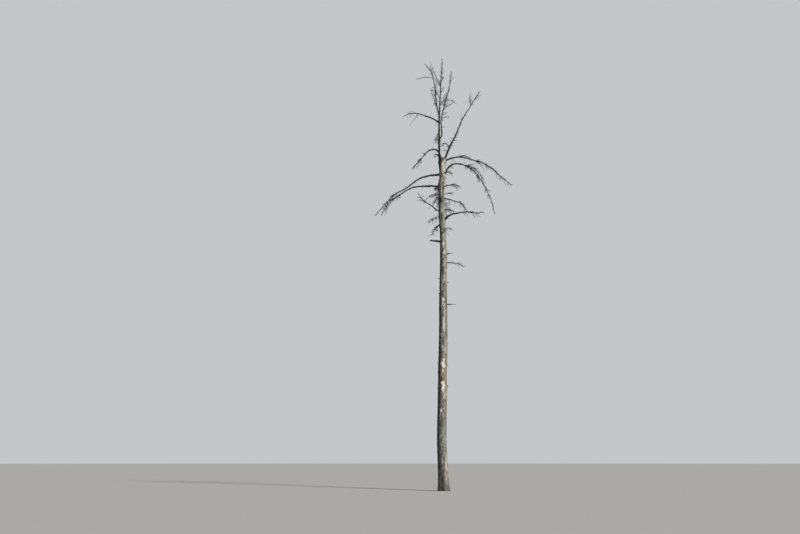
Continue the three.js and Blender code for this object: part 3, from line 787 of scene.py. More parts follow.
# where the bark has come off: height, bearing, how tall, how wide and how fresh
bareSpots = [
    (15.50, 278, 0.32, 0.11, 0.5), (13.78, 266, 0.15, 0.045, 0.8), (12.47, 267, 0.20, 0.05, 0.7),
    (12.04, 274, 0.20, 0.08, 0.9), (11.64, 281, 0.15, 0.09, 0.9), (9.24, 266, 0.15, 0.07, 0.7),
    (8.96, 274, 0.14, 0.09, 0.8), (7.95, 282, 0.42, 0.06, 0.4), (6.24, 283, 0.12, 0.06, 0.8),
    (6.06, 272, 0.14, 0.14, 0.9), (5.94, 285, 0.12, 0.11, 0.7), (5.72, 270, 0.12, 0.05, 0.1),
    (5.14, 277, 0.11, 0.14, 0.8), (5.00, 286, 0.12, 0.10, 1.0), (4.86, 272, 0.13, 0.13, 0.9),
    (4.71, 281, 0.10, 0.07, 0.6), (4.45, 290, 0.22, 0.05, 0.1), (3.80, 257, 0.13, 0.07, 1.5),
    (7.4, 40, 0.5, 0.12, 0.3), (10.2, 130, 0.4, 0.11, 0.5),
    (5.3, 175, 0.45, 0.10, 0.2), (3.1, 75, 0.3, 0.10, 0.6), (8.1, 215, 0.35, 0.09, 0.2),
    (1.1, 318, 0.16, 0.05, 0.3), (10.7, 5, 0.3, 0.08, 0.4),
]

# rotten dents: height, bearing, how tall and how wide
dents = [
    (13.45, 250, 0.26, 0.065), (11.72, 262, 0.16, 0.022), (11.98, 250, 0.10, 0.02), (9.5, 245, 0.16, 0.03),
    (9.1, 286, 0.04, 0.05), (4.3, 295, 0.12, 0.02), (6.6, 60, 0.2, 0.03), (8.8, 120, 0.12, 0.025),
    (2.6, 20, 0.2, 0.03),
]

# where the trunk stands out further on one side: at its foot, its shoulder and below the crown
swells = [{"height": 0, "bearing": -22, "spread": 0.9, "size": 0.035, "reach": 1.0},
          {"height": 15.72, "bearing": -8, "spread": 0.85, "size": 0.05, "reach": 0.48},
          {"height": 14.4, "bearing": 185, "spread": 0.85, "size": 0.035, "reach": 0.95}]

# drying checks in the wood: bearing at the foot, from and to which height, depth
checks = [
    (272, 9.6, 15.9, 0.012), (318, 11.0, 16.3, 0.010), (25, 10.4, 16.1, 0.013), (80, 9.2, 15.2, 0.010),
    (140, 11.3, 16.4, 0.012), (205, 10.0, 15.6, 0.011), (240, 12.2, 16.5, 0.009), (350, 3.2, 6.3, 0.009),
    (110, 2.0, 5.6, 0.008), (195, 6.0, 9.4, 0.009),
]

# a swollen collar stands round the root of each bough that grows from the trunk
boughCollars = [
    (spec["height"], math.radians(spec["bearing"]), spec["diameter"])
    for spec in arms if "on" not in spec and "aside" not in spec
]
# scars of boughs that fell long ago, in rough whorls
whorls = {"count": 34, "lowest": 1.7, "apart": 0.43, "uneven": 0.12, "most": 3, "spread": 0.08,
          "size": 0.018, "larger": 0.02}
oldScars = []
scarDraw = seeded(seeds["scars"])
for whorl in range(whorls["count"]):
    whorlHeight = whorls["lowest"] + whorl * whorls["apart"] + whorls["uneven"] * scarDraw()
    for _ in range(1 + int(whorls["most"] * scarDraw())):
        oldScars.append((whorlHeight + whorls["spread"] * (scarDraw() - 0.5), 2 * math.pi * scarDraw(),
                         whorls["size"] + whorls["larger"] * scarDraw()))


def turnGap(a, b):
    return (a - b + math.pi) % (2 * math.pi) - math.pi


def woodNoise(ring, height, *layers, shift=0):
    # noise in layers, each with its waves round the trunk, its waves up it and its depth
    return sum(depth * noise.noise(Vector((ring.x * across, ring.y * across, shift + height * along)))
               for across, along, depth in layers)


def barkCover(height, angle, ring):
    # 1 on bark and 0 on bare wood, with soft edges between, and how fresh the wood is
    skin, bare = trunkSkin, marks["bare"]
    edge = trunk["barkTop"] + woodNoise(ring, height, skin["edgeWander"], shift=3.1)
    cover = 1 - eased((height - edge + skin["edgeFade"] / 2) / skin["edgeFade"])
    patch = woodNoise(ring, height, *skin["barePatches"])
    begins, rarer, fade = skin["patchEdge"]
    cover *= 1 - eased((patch - begins - rarer * (1 - height / 12)) / fade)
    radius = trunkRadius(height)
    fresh = 0.0
    for spot, bearing, tall, wide, new in bareSpots:
        if abs(height - spot) < bare["reach"] * tall:
            away = turnGap(angle, math.radians(bearing)) * radius / wide
            away = (away * away + ((height - spot) / tall) ** 2) ** 0.5
            away += woodNoise(ring, height, *bare["ragged"])
            begins, fade = bare["bark"]
            cover *= eased((away - begins) / fade)
            streaks = 0.5 + woodNoise(ring, height, bare["streaks"])
            ends, fade = bare["fresh"]
            fresh = max(fresh, new * eased((ends - away) / fade) * min(1, max(0, 0.45 + streaks)))
    return cover, fresh


def trunkRelief(height, angle):
    # how far the surface stands off the solid's, how much of it is bark, how much painted shade it gets in a
    # crack or pit, and how fresh
    turned = angle + trunkSkin["twist"] * height
    ring = headingAt(turned)
    radius = trunkRadius(height)
    cover, fresh = barkCover(height, angle, ring)
    wood, hollow = woodNoise(ring, height, trunkSkin["flutes"], trunkSkin["ridges"]), 0.0
    for bearing, low, high, depth in checks:
        if low < height < high:
            mark = marks["check"]
            sway = mark["sway"] * math.sin(height * mark["swayRate"] + bearing)
            gap = turnGap(turned, math.radians(bearing) + sway) * radius
            ends = eased((height - low) / mark["fade"]) * eased((high - height) / mark["fade"])
            cut = bell(gap / mark["width"]) * ends
            wood -= depth * cut
            hollow = max(hollow, cut)
    around, along = trunkSkin["plates"]
    seat = Vector((ring.x * radius * around, ring.y * radius * around, height * along))
    warped = seat + trunkSkin["plateWarp"] * noise.noise_vector(seat * 0.9)
    distances, points = noise.voronoi(warped)
    crack = 1 - eased((distances[1] - distances[0]) / (0.20 + 0.18 * noise.noise(seat * 0.4)))
    skin = trunkSkin["flakeDepth"] * noise.cell(points[0] * 3) - trunkSkin["plateDepth"] * crack
    skin += trunkSkin["plateLift"] * min(1, max(-1, points[0].z - warped.z)) * (1 - crack)
    around, along, depth = trunkSkin["scales"]
    flakes, _ = noise.voronoi(Vector((ring.x * radius * around, ring.y * radius * around, height * along)))
    skin -= depth * (1 - eased((flakes[1] - flakes[0]) / 0.35))
    bare = wood - trunkSkin["bareDepth"] * (1 - eased((height - trunk["barkTop"]) / trunk["barkEdge"]))
    off = between((bare, skin + trunkSkin["underBark"] * wood), cover)
    hollow = between((hollow, 0.75 * crack), cover)
    mark = marks["collar"]
    for spot, bearing, size in boughCollars:
        if abs(height - spot) < mark["reach"] * size:
            gap = turnGap(angle, bearing) * radius
            off += mark["swell"] * size * bell(gap / size, (height - spot) / (mark["tall"] * size))
    mark = marks["scar"]
    for spot, bearing, size in oldScars:
        if abs(height - spot) < mark["reach"] * size:
            away = math.hypot(turnGap(angle, bearing) * radius, mark["flat"] * (height - spot)) / size
            off += mark["swell"] * size * (bell(away) - mark["pit"] * bell(away / mark["pitWidth"]))
            hollow = max(hollow, mark["dark"] * bell(away / mark["darkWidth"]))
            begins, fade = mark["bark"]
            cover *= eased((away - begins) / fade)
    mark = marks["dent"]
    for spot, bearing, tall, size in dents:
        if abs(height - spot) < mark["reach"] * tall:
            dent = bell(turnGap(angle, math.radians(bearing)) * radius / size, (height - spot) / tall)
            off -= mark["depth"] * size * dent
            hollow = max(hollow, mark["dark"] * dent - 0.1)
    for swell in swells:
        spread = turnGap(angle, math.radians(swell["bearing"])) / swell["spread"]
        off += bump(height, swell) * bell(spread)
    return off, cover, hollow, fresh


def buildTrunk():
    size = trunkSkin
    rings, rimRing = size["rings"], size["rings"] - size["breakRings"]
    layers = {}

    def place(vert, angle, ring):
        climbed = min(1, ring / rimRing)
        height = trunk["top"] * climbed
        wave = 0.6 * math.sin(2 * angle + 0.5) + 0.4 * math.sin(5 * angle)
        spikes = noise.noise(Vector((7 * math.cos(angle), 7 * math.sin(angle), 0.4)))
        rim = trunk["breakDepth"] * wave + size["splinters"] * (max(0, spikes) * 1.5 - 0.12)
        lift = rim * eased((height - trunk["top"] + size["breakReach"]) / size["breakReach"])
        off, cover, hollow, fresh = trunkRelief(height, angle)
        radius = trunkRadius(height, angle) + off * (1 if ring else 0.4)
        if ring > rimRing:
            inside = (ring - rimRing) / size["breakRings"]
            radius *= 1 - inside ** 0.8
            fine, deep = size["breakRough"]
            rough = noise.noise(Vector((radius * fine * math.cos(angle), radius * fine * math.sin(angle), 2)))
            lift += (-size["breakHollow"] * math.sin(math.pi / 2 * inside) ** 0.6
                     - rim * inside + deep * rough * math.sin(math.pi * inside))
            # painted shade deepens into the broken top
            cover, hollow, fresh = 0, 0.35 + 0.3 * inside, 0
        vert.co = trunkAxis(height) + Vector((radius * math.cos(angle), radius * math.sin(angle), lift))
        vert[layers["bark"]], vert[layers["hollow"]], vert[layers["fresh"]] = cover, hollow, fresh

    bm = bmesh.new()
    for name in trunkLayers:
        bm.verts.layers.float.new(name)
    layers.update({name: bm.verts.layers.float[name] for name in trunkLayers})
    bmesh.ops.create_grid(bm, x_segments=size["sides"], y_segments=rings, size=1)
    rollUp(bm, size["sides"], rings, place)
    for face in bm.faces:
        face.smooth = len(face.verts) < 5
    addPiece("trunkWood", meshFrom(bm, "trunkWood"), [trunkWood], "trunk_wood", "trunk")


buildTrunk()
print("trunk built")

boughSkin = {
    "sides": 20,
    "ringSpacing": 0.017,
    "lumps": (3.4, 0.10),        # slow swelling along the bough: to the metre, share of the radius
    "ridges": (1.9, 6.0, 0.13),  # round, to the metre, share of the radius, as for the next two
    "flakes": (3.6, 26, 0.07),
    "knots": (0.8, 4.2, 0.26),
    "knotFrom": 0.22,            # how strong the noise is where a knot begins
    "knotGain": 2.2,
    "twigScars": (0.075, 0.42),  # spacing in metres, share of the radius
    "scarSizes": (0.6, 0.8),     # the least, and how much more at most
    "scarShape": (0.9, 1.25),    # how long, and how narrow round the bough
    "leastRadius": 0.0035,
    "endRings": 3,               # of a stub, across its broken end
    "skin": 0.0035,              # bark over the solid
    "fuller": 0.07,              # how much the middle of a bough swells, as a share of its girth
    "blunt": 0.3,                # how far along its taper a stub has broken off
    "bowed": 1.12,               # how much longer than its chord an arm runs
    "fewestRings": 14,
    "brokenEnd": (2.4, 0.9, 0.2, 0.5),   # of a stub: how fine, how jagged, how far on and how domed
    "bulgeFrom": 0.07,           # an arm doesn't bulge before this share, where it meets its carrier
}


def boughFrames(points):
    # the run's direction at each point, and two directions across it that don't twist
    last = len(points) - 1
    alongs = [(points[min(i + 1, last)] - points[max(i - 1, 0)]).normalized() for i in range(last + 1)]
    across = up if abs(alongs[0].z) < 0.9 else Vector((0, 1, 0))
    frames = []
    for along in alongs:
        across = (across - along * across.dot(along)).normalized()
        frames.append((along, across, along.cross(across)))
    return frames


def boughRadius(spec, chord, share):
    size = boughSkin
    if spec["share"] == 1:
        share *= size["blunt"]
    full = spec.get("stouter", 1) * (1 + size["fuller"] * math.sin(math.pi * share))
    return armRadius(spec, chord, share) * full + size["skin"]


def drawnAt(one, share):
    aside, lift, where, reach = one["spec"].get("bulge", (0, 0, 0, 1))
    much = bell((share - where) / reach) * eased(share / boughSkin["bulgeFrom"])
    return one["at"](share) + Vector((aside * much, 0, lift * much))


def boughAlong(one, first, last, segments):
    shares = [first + (last - first) * i / segments for i in range(segments + 1)]
    radii = [boughRadius(one["spec"], one["chord"], share) for share in shares]
    return [drawnAt(one, share) for share in shares], radii


def buildBough(one, number):
    spec, size = one["spec"], boughSkin
    isStub = spec["share"] == 1
    length = size["bowed"] * one["chord"]
    rings = max(size["fewestRings"], round(length / size["ringSpacing"]))
    rimRing = rings - size["endRings"] if isStub else rings
    points = [drawnAt(one, min(1, i / rimRing)) for i in range(rings + 1)]
    frames = boughFrames(points[:rimRing + 1])
    seat = Vector((3.7 * number, 1.3 * number, 0))
    draw = seeded(seeds["boughs"] + number)
    spacing, scarSize = size["twigScars"]
    least, more = size["scarSizes"]
    tall, narrow = size["scarShape"]
    scars = [(spacing * (i + draw()), 2 * math.pi * draw(), least + more * draw())
             for i in range(int(length / spacing))]

    def place(vert, angle, ring):
        share = min(1, ring / rimRing)
        travelled = share * length
        along, across, third = frames[min(ring, rimRing)]
        turn = headingAt(angle)

        def rough(key, shift):
            # noise round the bough and along it, in patterns that the shift sets apart
            around, often, _ = size[key]
            return noise.noise(seat + turn * around + Vector((shift, 0, travelled * often)))

        radius = boughRadius(spec, one["chord"], share)
        shape = size["lumps"][1] * noise.noise(seat + Vector((0, 0, travelled * size["lumps"][0])))
        shape += size["ridges"][2] * rough("ridges", 0)
        shape += size["flakes"][2] * rough("flakes", 5)
        shape += size["knots"][2] * max(0, rough("knots", 9) - size["knotFrom"]) * size["knotGain"]
        near = int(travelled / spacing)
        for scarAt, bearing, wide in scars[max(0, near - 1):near + 2]:
            gap = narrow * turnGap(angle, bearing) / wide
            away = math.hypot((travelled - scarAt) / (tall * radius * wide), gap)
            shape += scarSize * wide * bell(away)
        radius = max(size["leastRadius"], radius * (1 + shape))
        forward = 0.0
        fine, jagged, onward, domed = size["brokenEnd"]
        if isStub and ring >= rimRing - 1:
            forward = radius * (jagged * noise.noise(seat + turn * fine) + onward)
        if ring > rimRing:
            inside = (ring - rimRing) / size["endRings"]
            radius *= 1 - inside
            forward -= domed * inside * radius
        elif not isStub and ring == rings:
            radius = 0
        vert.co = points[ring] + across * (radius * turn.x) + third * (radius * turn.y) + along * forward

    # a grain map in metres, round the bough and along it
    bm = bmesh.new()
    grain = bm.loops.layers.uv.new("grain")
    bmesh.ops.create_grid(bm, x_segments=size["sides"], y_segments=rings, size=1)
    for face in bm.faces:
        face.smooth = True
        for loop in face.loops:
            x, y = (loop.vert.co.x + 1) / 2, (loop.vert.co.y + 1) / 2
            loop[grain].uv = (x * (math.pi * spec["diameter"]), y * length)
    rollUp(bm, size["sides"], rings, place)
    name = pieceName(spec["name"], "" if spec["name"].endswith(("stub", "leader", "bough")) else "Bough")
    wood = bleachedWood if spec["name"] in bleachedArms else boughWood
    addPiece(name, meshFrom(bm, name), [wood], "bough_wood", spec["name"])


for number, one in enumerate(grown.values()):
    if one["spec"]["share"] > 0:
        buildBough(one, number)
print("boughs built")

pegs = {
    "share": 0.55,               # of the old scars, that still bear one
    "lowest": 2.2,
    "length": (0.02, 0.10),
    "radius": (0.004, 0.011),
    "rise": (-35, 30),
    "shorter": 1.5,              # the power that keeps most of them short
    "taper": (1.3, 0.85),
    "lumps": (60, 0.45),         # to the metre, share of the radius
    "splinters": (150, 1.6),
    "splintersFrom": 0.7,        # the share of its length where they begin
    "sides": 8,
    "rootDepth": 0.03,
    # height, bearing, length, radius and rise of those that show from afar
    "placed": [(11.52, 331, 0.34, 0.013, 7), (8.99, 352, 0.42, 0.013, 1), (5.0, 352, 0.06, 0.026, -15),
               (9.55, 188, 0.05, 0.02, 0), (8.98, 276, 0.03, 0.024, 5), (10.3, 178, 0.07, 0.014, 12),
               (12.75, 5, 0.08, 0.012, 15), (7.1, 2, 0.06, 0.012, -5), (10.1, 352, 0.07, 0.012, 10)],
}


def buildPegs():
    # stumps of boughs and twigs that broke off close to the trunk
    size, draw = pegs, seeded(seeds["pegs"])
    bm = bmesh.new()
    grain = bm.loops.layers.uv.new("grain")
    chosen = [(height, math.radians(bearing), length, radius, rise)
              for height, bearing, length, radius, rise in size["placed"]]
    for height, bearing, _ in oldScars:
        if draw() < size["share"] and height > size["lowest"]:
            chosen.append((height, bearing, between(size["length"], draw() ** size["shorter"]),
                           between(size["radius"], draw()), between(size["rise"], draw())))
    for height, bearing, length, radius, rise in chosen:
        rise, depth = math.radians(rise), size["rootDepth"] + length
        heading = headingAt(bearing)
        outward = heading * math.cos(rise) + up * math.sin(rise)
        seat = trunkAxis(height) + heading * (trunkRadius(height, bearing) - size["rootDepth"])
        turned = outward.to_track_quat("Z", "Y").to_matrix().to_4x4()
        wide, narrow = size["taper"]
        made = bmesh.ops.create_cone(
            bm, cap_ends=True, segments=size["sides"], radius1=wide * radius, radius2=narrow * radius,
            depth=depth, matrix=Matrix.Translation(seat + outward * depth / 2) @ turned)
        often, much = size["lumps"]
        fine, jagged = size["splinters"]
        for vert in made["verts"]:
            vert.co += noise.noise_vector(vert.co * often) * (much * radius)
            if (vert.co - seat).dot(outward) > size["splintersFrom"] * depth:
                vert.co += outward * (jagged * radius * noise.noise(vert.co * fine))
    for face in bm.faces:
        face.smooth = len(face.verts) < 5
        for loop in face.loops:
            loop[grain].uv = (loop.vert.co.x + loop.vert.co.y, loop.vert.co.z)
    bmesh.ops.recalc_face_normals(bm, faces=bm.faces)
    addPiece("trunkPegs", meshFrom(bm, "trunkPegs"), [boughWood], "bough_wood")


buildPegs()
print("pegs built")

# Twigs

# Finer twigs on the twigs of the rule: levels 2 and 3. Lengths are shares of what they grow on.
finer = [
    {"spacing": 0.047, "length": 0.50, "longest": 0.27, "lean": (28, 58), "turnSpread": 130, "bend": -0.10,
     "kink": 0.30, "segments": 4, "sides": 4, "shortest": 0.02,
     "size": {"girth": 0.62, "thinnest": 0.005, "thickest": 0.012, "taperPower": 0.5, "most": 0.95}},
    {"spacing": 0.034, "length": 0.46, "longest": 0.12, "lean": (26, 62), "turnSpread": 150, "bend": -0.06,
     "kink": 0.35, "segments": 3, "sides": 3, "shortest": 0.015,
     "size": {"girth": 0.66, "thinnest": 0.0036, "thickest": 0.008, "taperPower": 0.5, "most": 0.95}},
]
# Short dead twigs along the limbs themselves, before their masses begin
alongLimbs = {"spacing": 0.10, "lengths": (0.03, 0.36), "power": 2.1, "lean": (48, 88), "turnSpread": 200,
              "bend": {"spreading": -0.08, "upright": 0.12}, "first": 0.10, "segments": 4, "kink": 0.2,
              "size": {"girth": 0.24, "thinnest": 0.006, "thickest": 0.014, "taperPower": 0.3}}
firstLevel = {"segments": 7, "longSegments": 10, "sides": 5, "kink": 0.10, "stemSides": 6, "stemSegments": 16,
              "size": {**twig, "girth": 0.55, "thinnest": 0.009, "thickest": 0.023, "taperPower": 0.42}}

# Prongs and tufts that the photographed tree shows: the share of the whole arm where they stand, turn,
# lean, length, bend and, where it isn't the usual one, thickness
featureSize = {"girth": 0.5, "thinnest": 0.014, "thickest": 0.026, "taperPower": 0.45}
features = {
    "rising_bough": [
        (0.16, 319, 68, 1.2, -0.58, 0.048), (0.12, 20, 66, 0.38, -0.5, 0.028),
        (0.16, 170, 62, 0.15, 0.1), (0.19, 190, 66, 0.20, 0.1), (0.23, 165, 60, 0.18, 0.1),
        (0.27, 185, 64, 0.22, 0.1), (0.31, 172, 58, 0.20, 0.1), (0.35, 10, 60, 0.16, 0.1),
        (0.39, 180, 60, 0.19, 0.12), (0.43, 5, 55, 0.14, 0.1), (0.48, 184, 52, 0.18, 0.12),
        (0.55, 8, 48, 0.2, 0.1), (0.62, 176, 50, 0.18, 0.1),
        (0.79, 4, 44, 0.62, 0.3, 0.024),
    ],
    "right_leader": [
        (0.57, 148, 44, 0.66, -0.42, 0.022), (0.46, 119, 52, 0.72, 0.13, 0.022),
        (0.29, 206, 53, 0.58, -0.26, 0.020), (0.36, 182, 56, 0.36, 0.02),
        (0.27, 200, 70, 0.18, 0.0),
    ],
    "left_leader": [
        (0.30, 10, 12, 1.2, 0.06, 0.024), (0.12, 180, 8, 1.25, 0.12, 0.028),
        (0.42, 185, 54, 0.34, -0.1), (0.12, 180, 60, 0.16, 0.1), (0.20, 172, 64, 0.20, 0),
        (0.27, 188, 58, 0.15, 0.1), (0.35, 178, 62, 0.22, -0.05), (0.50, 180, 60, 0.2, 0),
    ],
    "main_leader": [
        (0.165, 170, 62, 0.22, -0.25, 0.016), (0.18, 188, 70, 0.26, -0.35, 0.018),
        (0.20, 176, 66, 0.20, -0.30, 0.014),
        (0.24, 20, 70, 0.2, -0.12), (0.27, -10, 74, 0.14, -0.15), (0.55, 180, 26, 0.6, 0.06),
        (0.62, 10, 24, 0.5, 0.06), (0.68, 190, 28, 0.45, 0.06),
    ],
    "right_long": [
        (0.20, 8, 38, 0.85, -0.60, 0.046), (0.42, 20, 18, 0.36, -0.12, 0.020),
        (0.43, 165, 16, 0.36, -0.10, 0.020), (0.44, -80, 18, 0.34, -0.10, 0.020),
        (0.45, 95, 20, 0.30, -0.12, 0.018), (0.45, 0, 30, 0.50, -0.30, 0.014),
        (0.79, 180, 36, 0.36, -0.10, 0.014), (0.47, 180, 30, 0.75, -0.12, 0.013),
    ],
    "right_second": [(0.79, 150, 30, 0.3, -0.3), (0.50, 20, 48, 1.3, -0.60, 0.013)],
    "left_second": [(0.055, 180, 46, 0.27, -0.05, 0.055)],
    "left_tuft": [(0.42, 180, 56, 0.42, 0.5, 0.040), (0.10, 180, 30, 0.30, 0.1, 0.024)],
    "left_collar_tuft": [(0.02, 0, 10, 0.57, -0.60, 0.075)],
}
# where dense burrs of twigs stand
burrs = {"right_long": (0.46, 0.57), "right_second": (0.50,), "left_collar": (0.5,), "left_second": (0.62,),
         "left_rising": (0.66,), "back_long": (0.45,), "front_second": (0.4,)}
# how much of an arm's finer growth still stands, where the photograph shows it thin
fullness = {"front_upper": 0.22, "back_upper": 0.3, "left_upper": 0.3, "left_collar": 0.8,
            "rising_bough": 0.8, "left_collar_tuft": 0.5, "front_long": 0.28, "front_second": 0.4,
            "right_low": 0.7}
burr = {"twigs": 12, "spread": 0.012, "length": (0.05, 0.16), "lean": (35, 95), "bend": -0.1, "segments": 3,
        "kink": 0.25, "size": {**twig, "girth": 0.4}}
standing = {
    "lineSteps": 60,       # pieces of the arm's own line, for twigs to stand on
    "stemSteps": 24,       # pieces of its outer part, for fine twigs
    "stemFrom": 0.35,      # the share of the arm where those begin, unless its mass begins later
    "longTwig": 0.5,       # from this length a twig takes more segments
    "tipRoom": 0.16,       # how far a fine twig may reach from a twig of the first level
}


def sideFor(along, spare):
    # level and square to the run, or from the spare one where the run is nearly upright
    across = up.cross(along)
    return across.normalized() if across.length > 0.3 else (spare - along * spare.dot(along)).normalized()


def shadeFor(random, weights):
    mark = random() * sum(weights)
    for index, weight in enumerate(weights):
        mark -= weight
        if mark <= 0:
            return index
    return 0


def growFiner(run, side, level, shade, random, inRoom, made):
    habit = finer[level]
    length = runLength(run[0])
    reach = min(habit["longest"], habit["length"] * length)
    for one in twigSpecs(length, {**habit, "length": reach}, random):
        child = twigRun(run, side, one, habit["segments"], habit["size"], habit["kink"], random)
        if one["length"] < habit["shortest"] or not inRoom(child[0]):
            continue
        made.append((child, habit["sides"], shade))
        if level + 1 < len(finer):
            along = (child[0][1] - child[0][0]).normalized()
            growFiner(child, sideFor(along, side), level + 1, shade, random, inRoom, made)


trunkSteps = [0.2 * i for i in range(84)]
trunkLine = np.array([trunkAxis(height)[:] for height in trunkSteps])
trunkGirth = np.array([trunkRadius(height) for height in trunkSteps])


def insideTrunk(points):
    spots = np.array([point[:] for point in points[2:]])
    near = np.abs(trunkLine[None, :, 2] - spots[:, 2, None]).argmin(1)
    away = np.linalg.norm(trunkLine[near, :2] - spots[:, :2], axis=1)
    return bool(((away < trunkGirth[near]) & (spots[:, 2] < trunk["top"])).any())


def growMass(one, number):
    spec = one["spec"]
    name, side, share = spec["name"], one["side"], spec["share"]
    random = seeded(seeds["finerTwigs"] + number)
    thinning = seeded(seeds["thinning"] + number)
    weights = bleachedWeights if name in bleachedArms else [shade["weight"] for shade in twigShades]
    habit = spec.get("habit", "spreading")
    reach = growth["room"] * habits[habit]["length"]
    made = []
    line = boughAlong(one, 0, 1, standing["lineSteps"])
    lineSpots = np.array([point[:] for point in line[0]])
    forkTips = []

    def inRoom(points):
        if thinning() > fullness.get(name, 1):
            return False
        tip = points[-1]
        near = np.linalg.norm(lineSpots - np.array(tip[:]), axis=1).min() < reach
        near = near or any((tip - spot).length < standing["tipRoom"] for spot in forkTips)
        return near and tip.z < cadHigh.z and not insideTrunk(points)

    def growTwig(stem, prong, size=firstLevel["size"], segments=None, kink=firstLevel["kink"]):
        isLong = prong["length"] > standing["longTwig"]
        segments = segments or firstLevel["longSegments" if isLong else "segments"]
        shade = shadeFor(random, weights)
        run = twigRun(stem, side, prong, segments, size, kink, random)
        made.append((run, firstLevel["sides"], shade))
        forkTips.extend(run[0][2:])
        along = (run[0][1] - run[0][0]).normalized()
        growFiner(run, sideFor(along, side), 0, shade, random, inRoom, made)

    if share == 0:
        stem = boughAlong(one, 0, 1, firstLevel["stemSegments"])
        made.append((stem, firstLevel["stemSides"], shadeFor(random, weights)))
        growFiner(stem, side, 0, shadeFor(random, weights), random, inRoom, made)
    for prong in one["twigs"]:
        # on the fine line, at the place that the rule gives on the stem
        place = share + (1 - share) * prong["at"]
        growTwig(line, {**prong, "at": place, **prong.get("seen", {})})
    for row in features.get(name, []):
        growTwig(line, fork(*row), featureSize)
    # fine twigs straight on the stem, between the rule's own
    stemFine = boughAlong(one, max(share, standing["stemFrom"]), 1, standing["stemSteps"])
    growFiner(stemFine, side, 0, shadeFor(random, weights), random, inRoom, made)
    # short dead twigs along the limb
    if share > 0:
        count = round(share * one["chord"] / alongLimbs["spacing"])
        for i in range(count):
            at = between((alongLimbs["first"], share), (i + random()) / count)
            length = between(alongLimbs["lengths"], random() ** alongLimbs["power"])
            turn = (90 if i % 2 else -90) + alongLimbs["turnSpread"] * (random() - 0.5)
            prong = fork(at, turn, between(alongLimbs["lean"], random()), length, alongLimbs["bend"][habit])
            growTwig(line, prong, alongLimbs["size"], alongLimbs["segments"], alongLimbs["kink"])
    for at in burrs.get(name, ()):
        for i in range(burr["twigs"]):
            spot = at + burr["spread"] * (random() - 0.5)
            prong = fork(spot, 360 * random(), between(burr["lean"], random()),
                         between(burr["length"], random()), burr["bend"])
            growTwig(line, prong, burr["size"], burr["segments"], burr["kink"])
    return made


def twigMesh(name, made):
    # joins many twigs into one mesh: rings round each run, a point at its tip and a closed root
    verts, faces, shades = [], [], []
    start = 0
    groups = {}
    for run, sides, shade in made:
        groups.setdefault((sides, len(run[0]) - 1), []).append((run, shade))
    for (sides, last), members in sorted(groups.items()):
        points = np.array([[point[:] for point in run[0]] for run, _ in members])
        radii = np.array([run[1][:last] for run, _ in members])
        shadeOf = np.array([shade for _, shade in members])
        tangents = np.diff(points, axis=1)
        tangents[:, 1:] = tangents[:, 1:] + tangents[:, :-1]
        tangents /= np.linalg.norm(tangents, axis=2, keepdims=True)
        steep = np.abs(tangents[:, :1, 2:]) > 0.8
        guide = np.where(steep, np.array([1.0, 0, 0]), np.array([0, 0, 1.0]))
        across = guide - tangents * (tangents * guide).sum(2, keepdims=True)
        across /= np.linalg.norm(across, axis=2, keepdims=True)
        third = np.cross(tangents, across)
        turn = 2 * np.pi * np.arange(sides) / sides
        rings = (points[:, :last, None] + radii[:, :, None, None] * (
            across[:, :, None] * np.cos(turn)[:, None] + third[:, :, None] * np.sin(turn)[:, None]))
        each = last * sides + 1
        own = np.concatenate([rings.reshape(len(members), -1, 3), points[:, -1:]], axis=1)
        verts.extend(own.reshape(-1, 3).tolist())
        offsets = start + each * np.arange(len(members))
        around = np.arange(sides)
        after = (around + 1) % sides
        levels = sides * np.arange(last - 1)[:, None]
        above = levels + sides
        quads = np.stack([levels + around, levels + after, above + after, above + around], 2).reshape(-1, 4)
        top = sides * (last - 1)
        fans = np.stack([top + around, top + after, np.full(sides, each - 1)], 1)
        for part in (quads, fans, around[None, ::-1]):
            faces.extend((offsets[:, None, None] + part[None]).reshape(-1, part.shape[1]).tolist())
            shades.extend(np.repeat(shadeOf, len(part)).tolist())
        start += each * len(members)
    mesh = bpy.data.meshes.new(name)
    mesh.from_pydata(verts, [], faces)
    for material in twigWoods:
        mesh.materials.append(material)
    mesh.polygons.foreach_set("material_index", shades)
    mesh.shade_smooth()
    return mesh, sum(len(face) - 2 for face in faces)


total, most = 0, 0
for number, one in enumerate(grown.values()):
    if one["spec"]["share"] == 1:
        continue
    made = growMass(one, number)
    name = pieceName(one["spec"]["name"], "Twigs")
    mesh, triangles = twigMesh(name, made)
    addPiece(name, mesh, [], "bare_twigs", one["spec"]["name"] + "_twigs")
    total, most = total + triangles, max(most, triangles)
print("twigs grown:", total, "triangles,", most, "in the largest piece")

# Stage

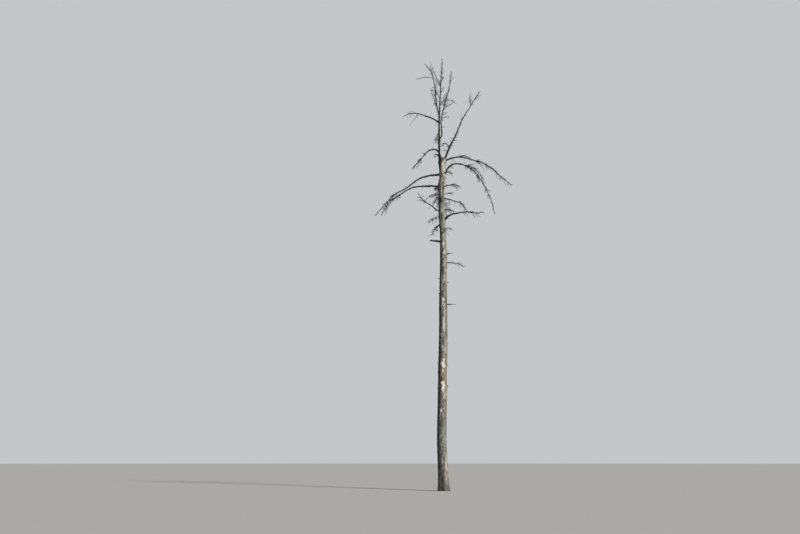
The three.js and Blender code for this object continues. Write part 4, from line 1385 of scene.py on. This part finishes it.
stage = {
    "floorRadius": 400,
    "floorSides": 96,
    "floor": (0.60, 0.595, 0.58),
    "backdrop": (0.55, 0.57, 0.59),
    "fill": 0.13,
    "fillColour": (0.9, 0.96, 1),
    "keyStrength": 3.4,
    "keyColour": (1, 0.98, 0.935),
    "keyBearing": -50,     # from the right and the front
    "keyRise": 32,
    "keyAngle": 9,
    "eye": (-2.06, -46.1, 1.43),
    "pitch": 11.6,
    "lens": 42.39,
    "sensorWidth": 36,
    "clipEnd": 1200,
}


def buildStage():
    bm = bmesh.new()
    bmesh.ops.create_circle(bm, cap_ends=True, segments=stage["floorSides"], radius=stage["floorRadius"])
    floor = addObject("floor", meshFrom(bm, "floor"))
    floor.data.materials.append(newMaterial("paleFloor", 0.9, stage["floor"])[0])

    sun = bpy.data.lights.new("key", "SUN")
    sun.energy, sun.color = stage["keyStrength"], stage["keyColour"]
    sun.angle = math.radians(stage["keyAngle"])
    lamp = addObject("key", sun)
    turn, rise = math.radians(stage["keyBearing"]), math.radians(stage["keyRise"])
    towards = Vector((math.cos(turn) * math.cos(rise), math.sin(turn) * math.cos(rise), math.sin(rise)))
    lamp.rotation_euler = towards.to_track_quat("Z", "Y").to_euler()

    world = bpy.data.worlds.new("studio")
    world.use_nodes = True
    tree = world.node_tree
    seen = addNode(tree, "ShaderNodeBackground", {"Color": (*stage["backdrop"], 1), "Strength": 1.0})
    fill = addNode(tree, "ShaderNodeBackground", {
        "Color": (*stage["fillColour"], 1), "Strength": stage["fill"]})
    path = addNode(tree, "ShaderNodeLightPath")
    both = addNode(tree, "ShaderNodeMixShader", {
        0: path.outputs["Is Camera Ray"], 1: fill.outputs[0], 2: seen.outputs[0]})
    feed(tree.nodes["World Output"].inputs["Surface"], both.outputs[0])
    bpy.context.scene.world = world
    bpy.context.scene.view_settings.view_transform = "Standard"

    camera = bpy.data.cameras.new("camera")
    camera.lens, camera.sensor_width, camera.clip_end = stage["lens"], stage["sensorWidth"], stage["clipEnd"]
    holder = addObject("camera", camera)
    holder.location = stage["eye"]
    holder.rotation_euler = (math.radians(90 + stage["pitch"]), 0, 0)
    bpy.context.scene.camera = holder


buildStage()
print("stage set")
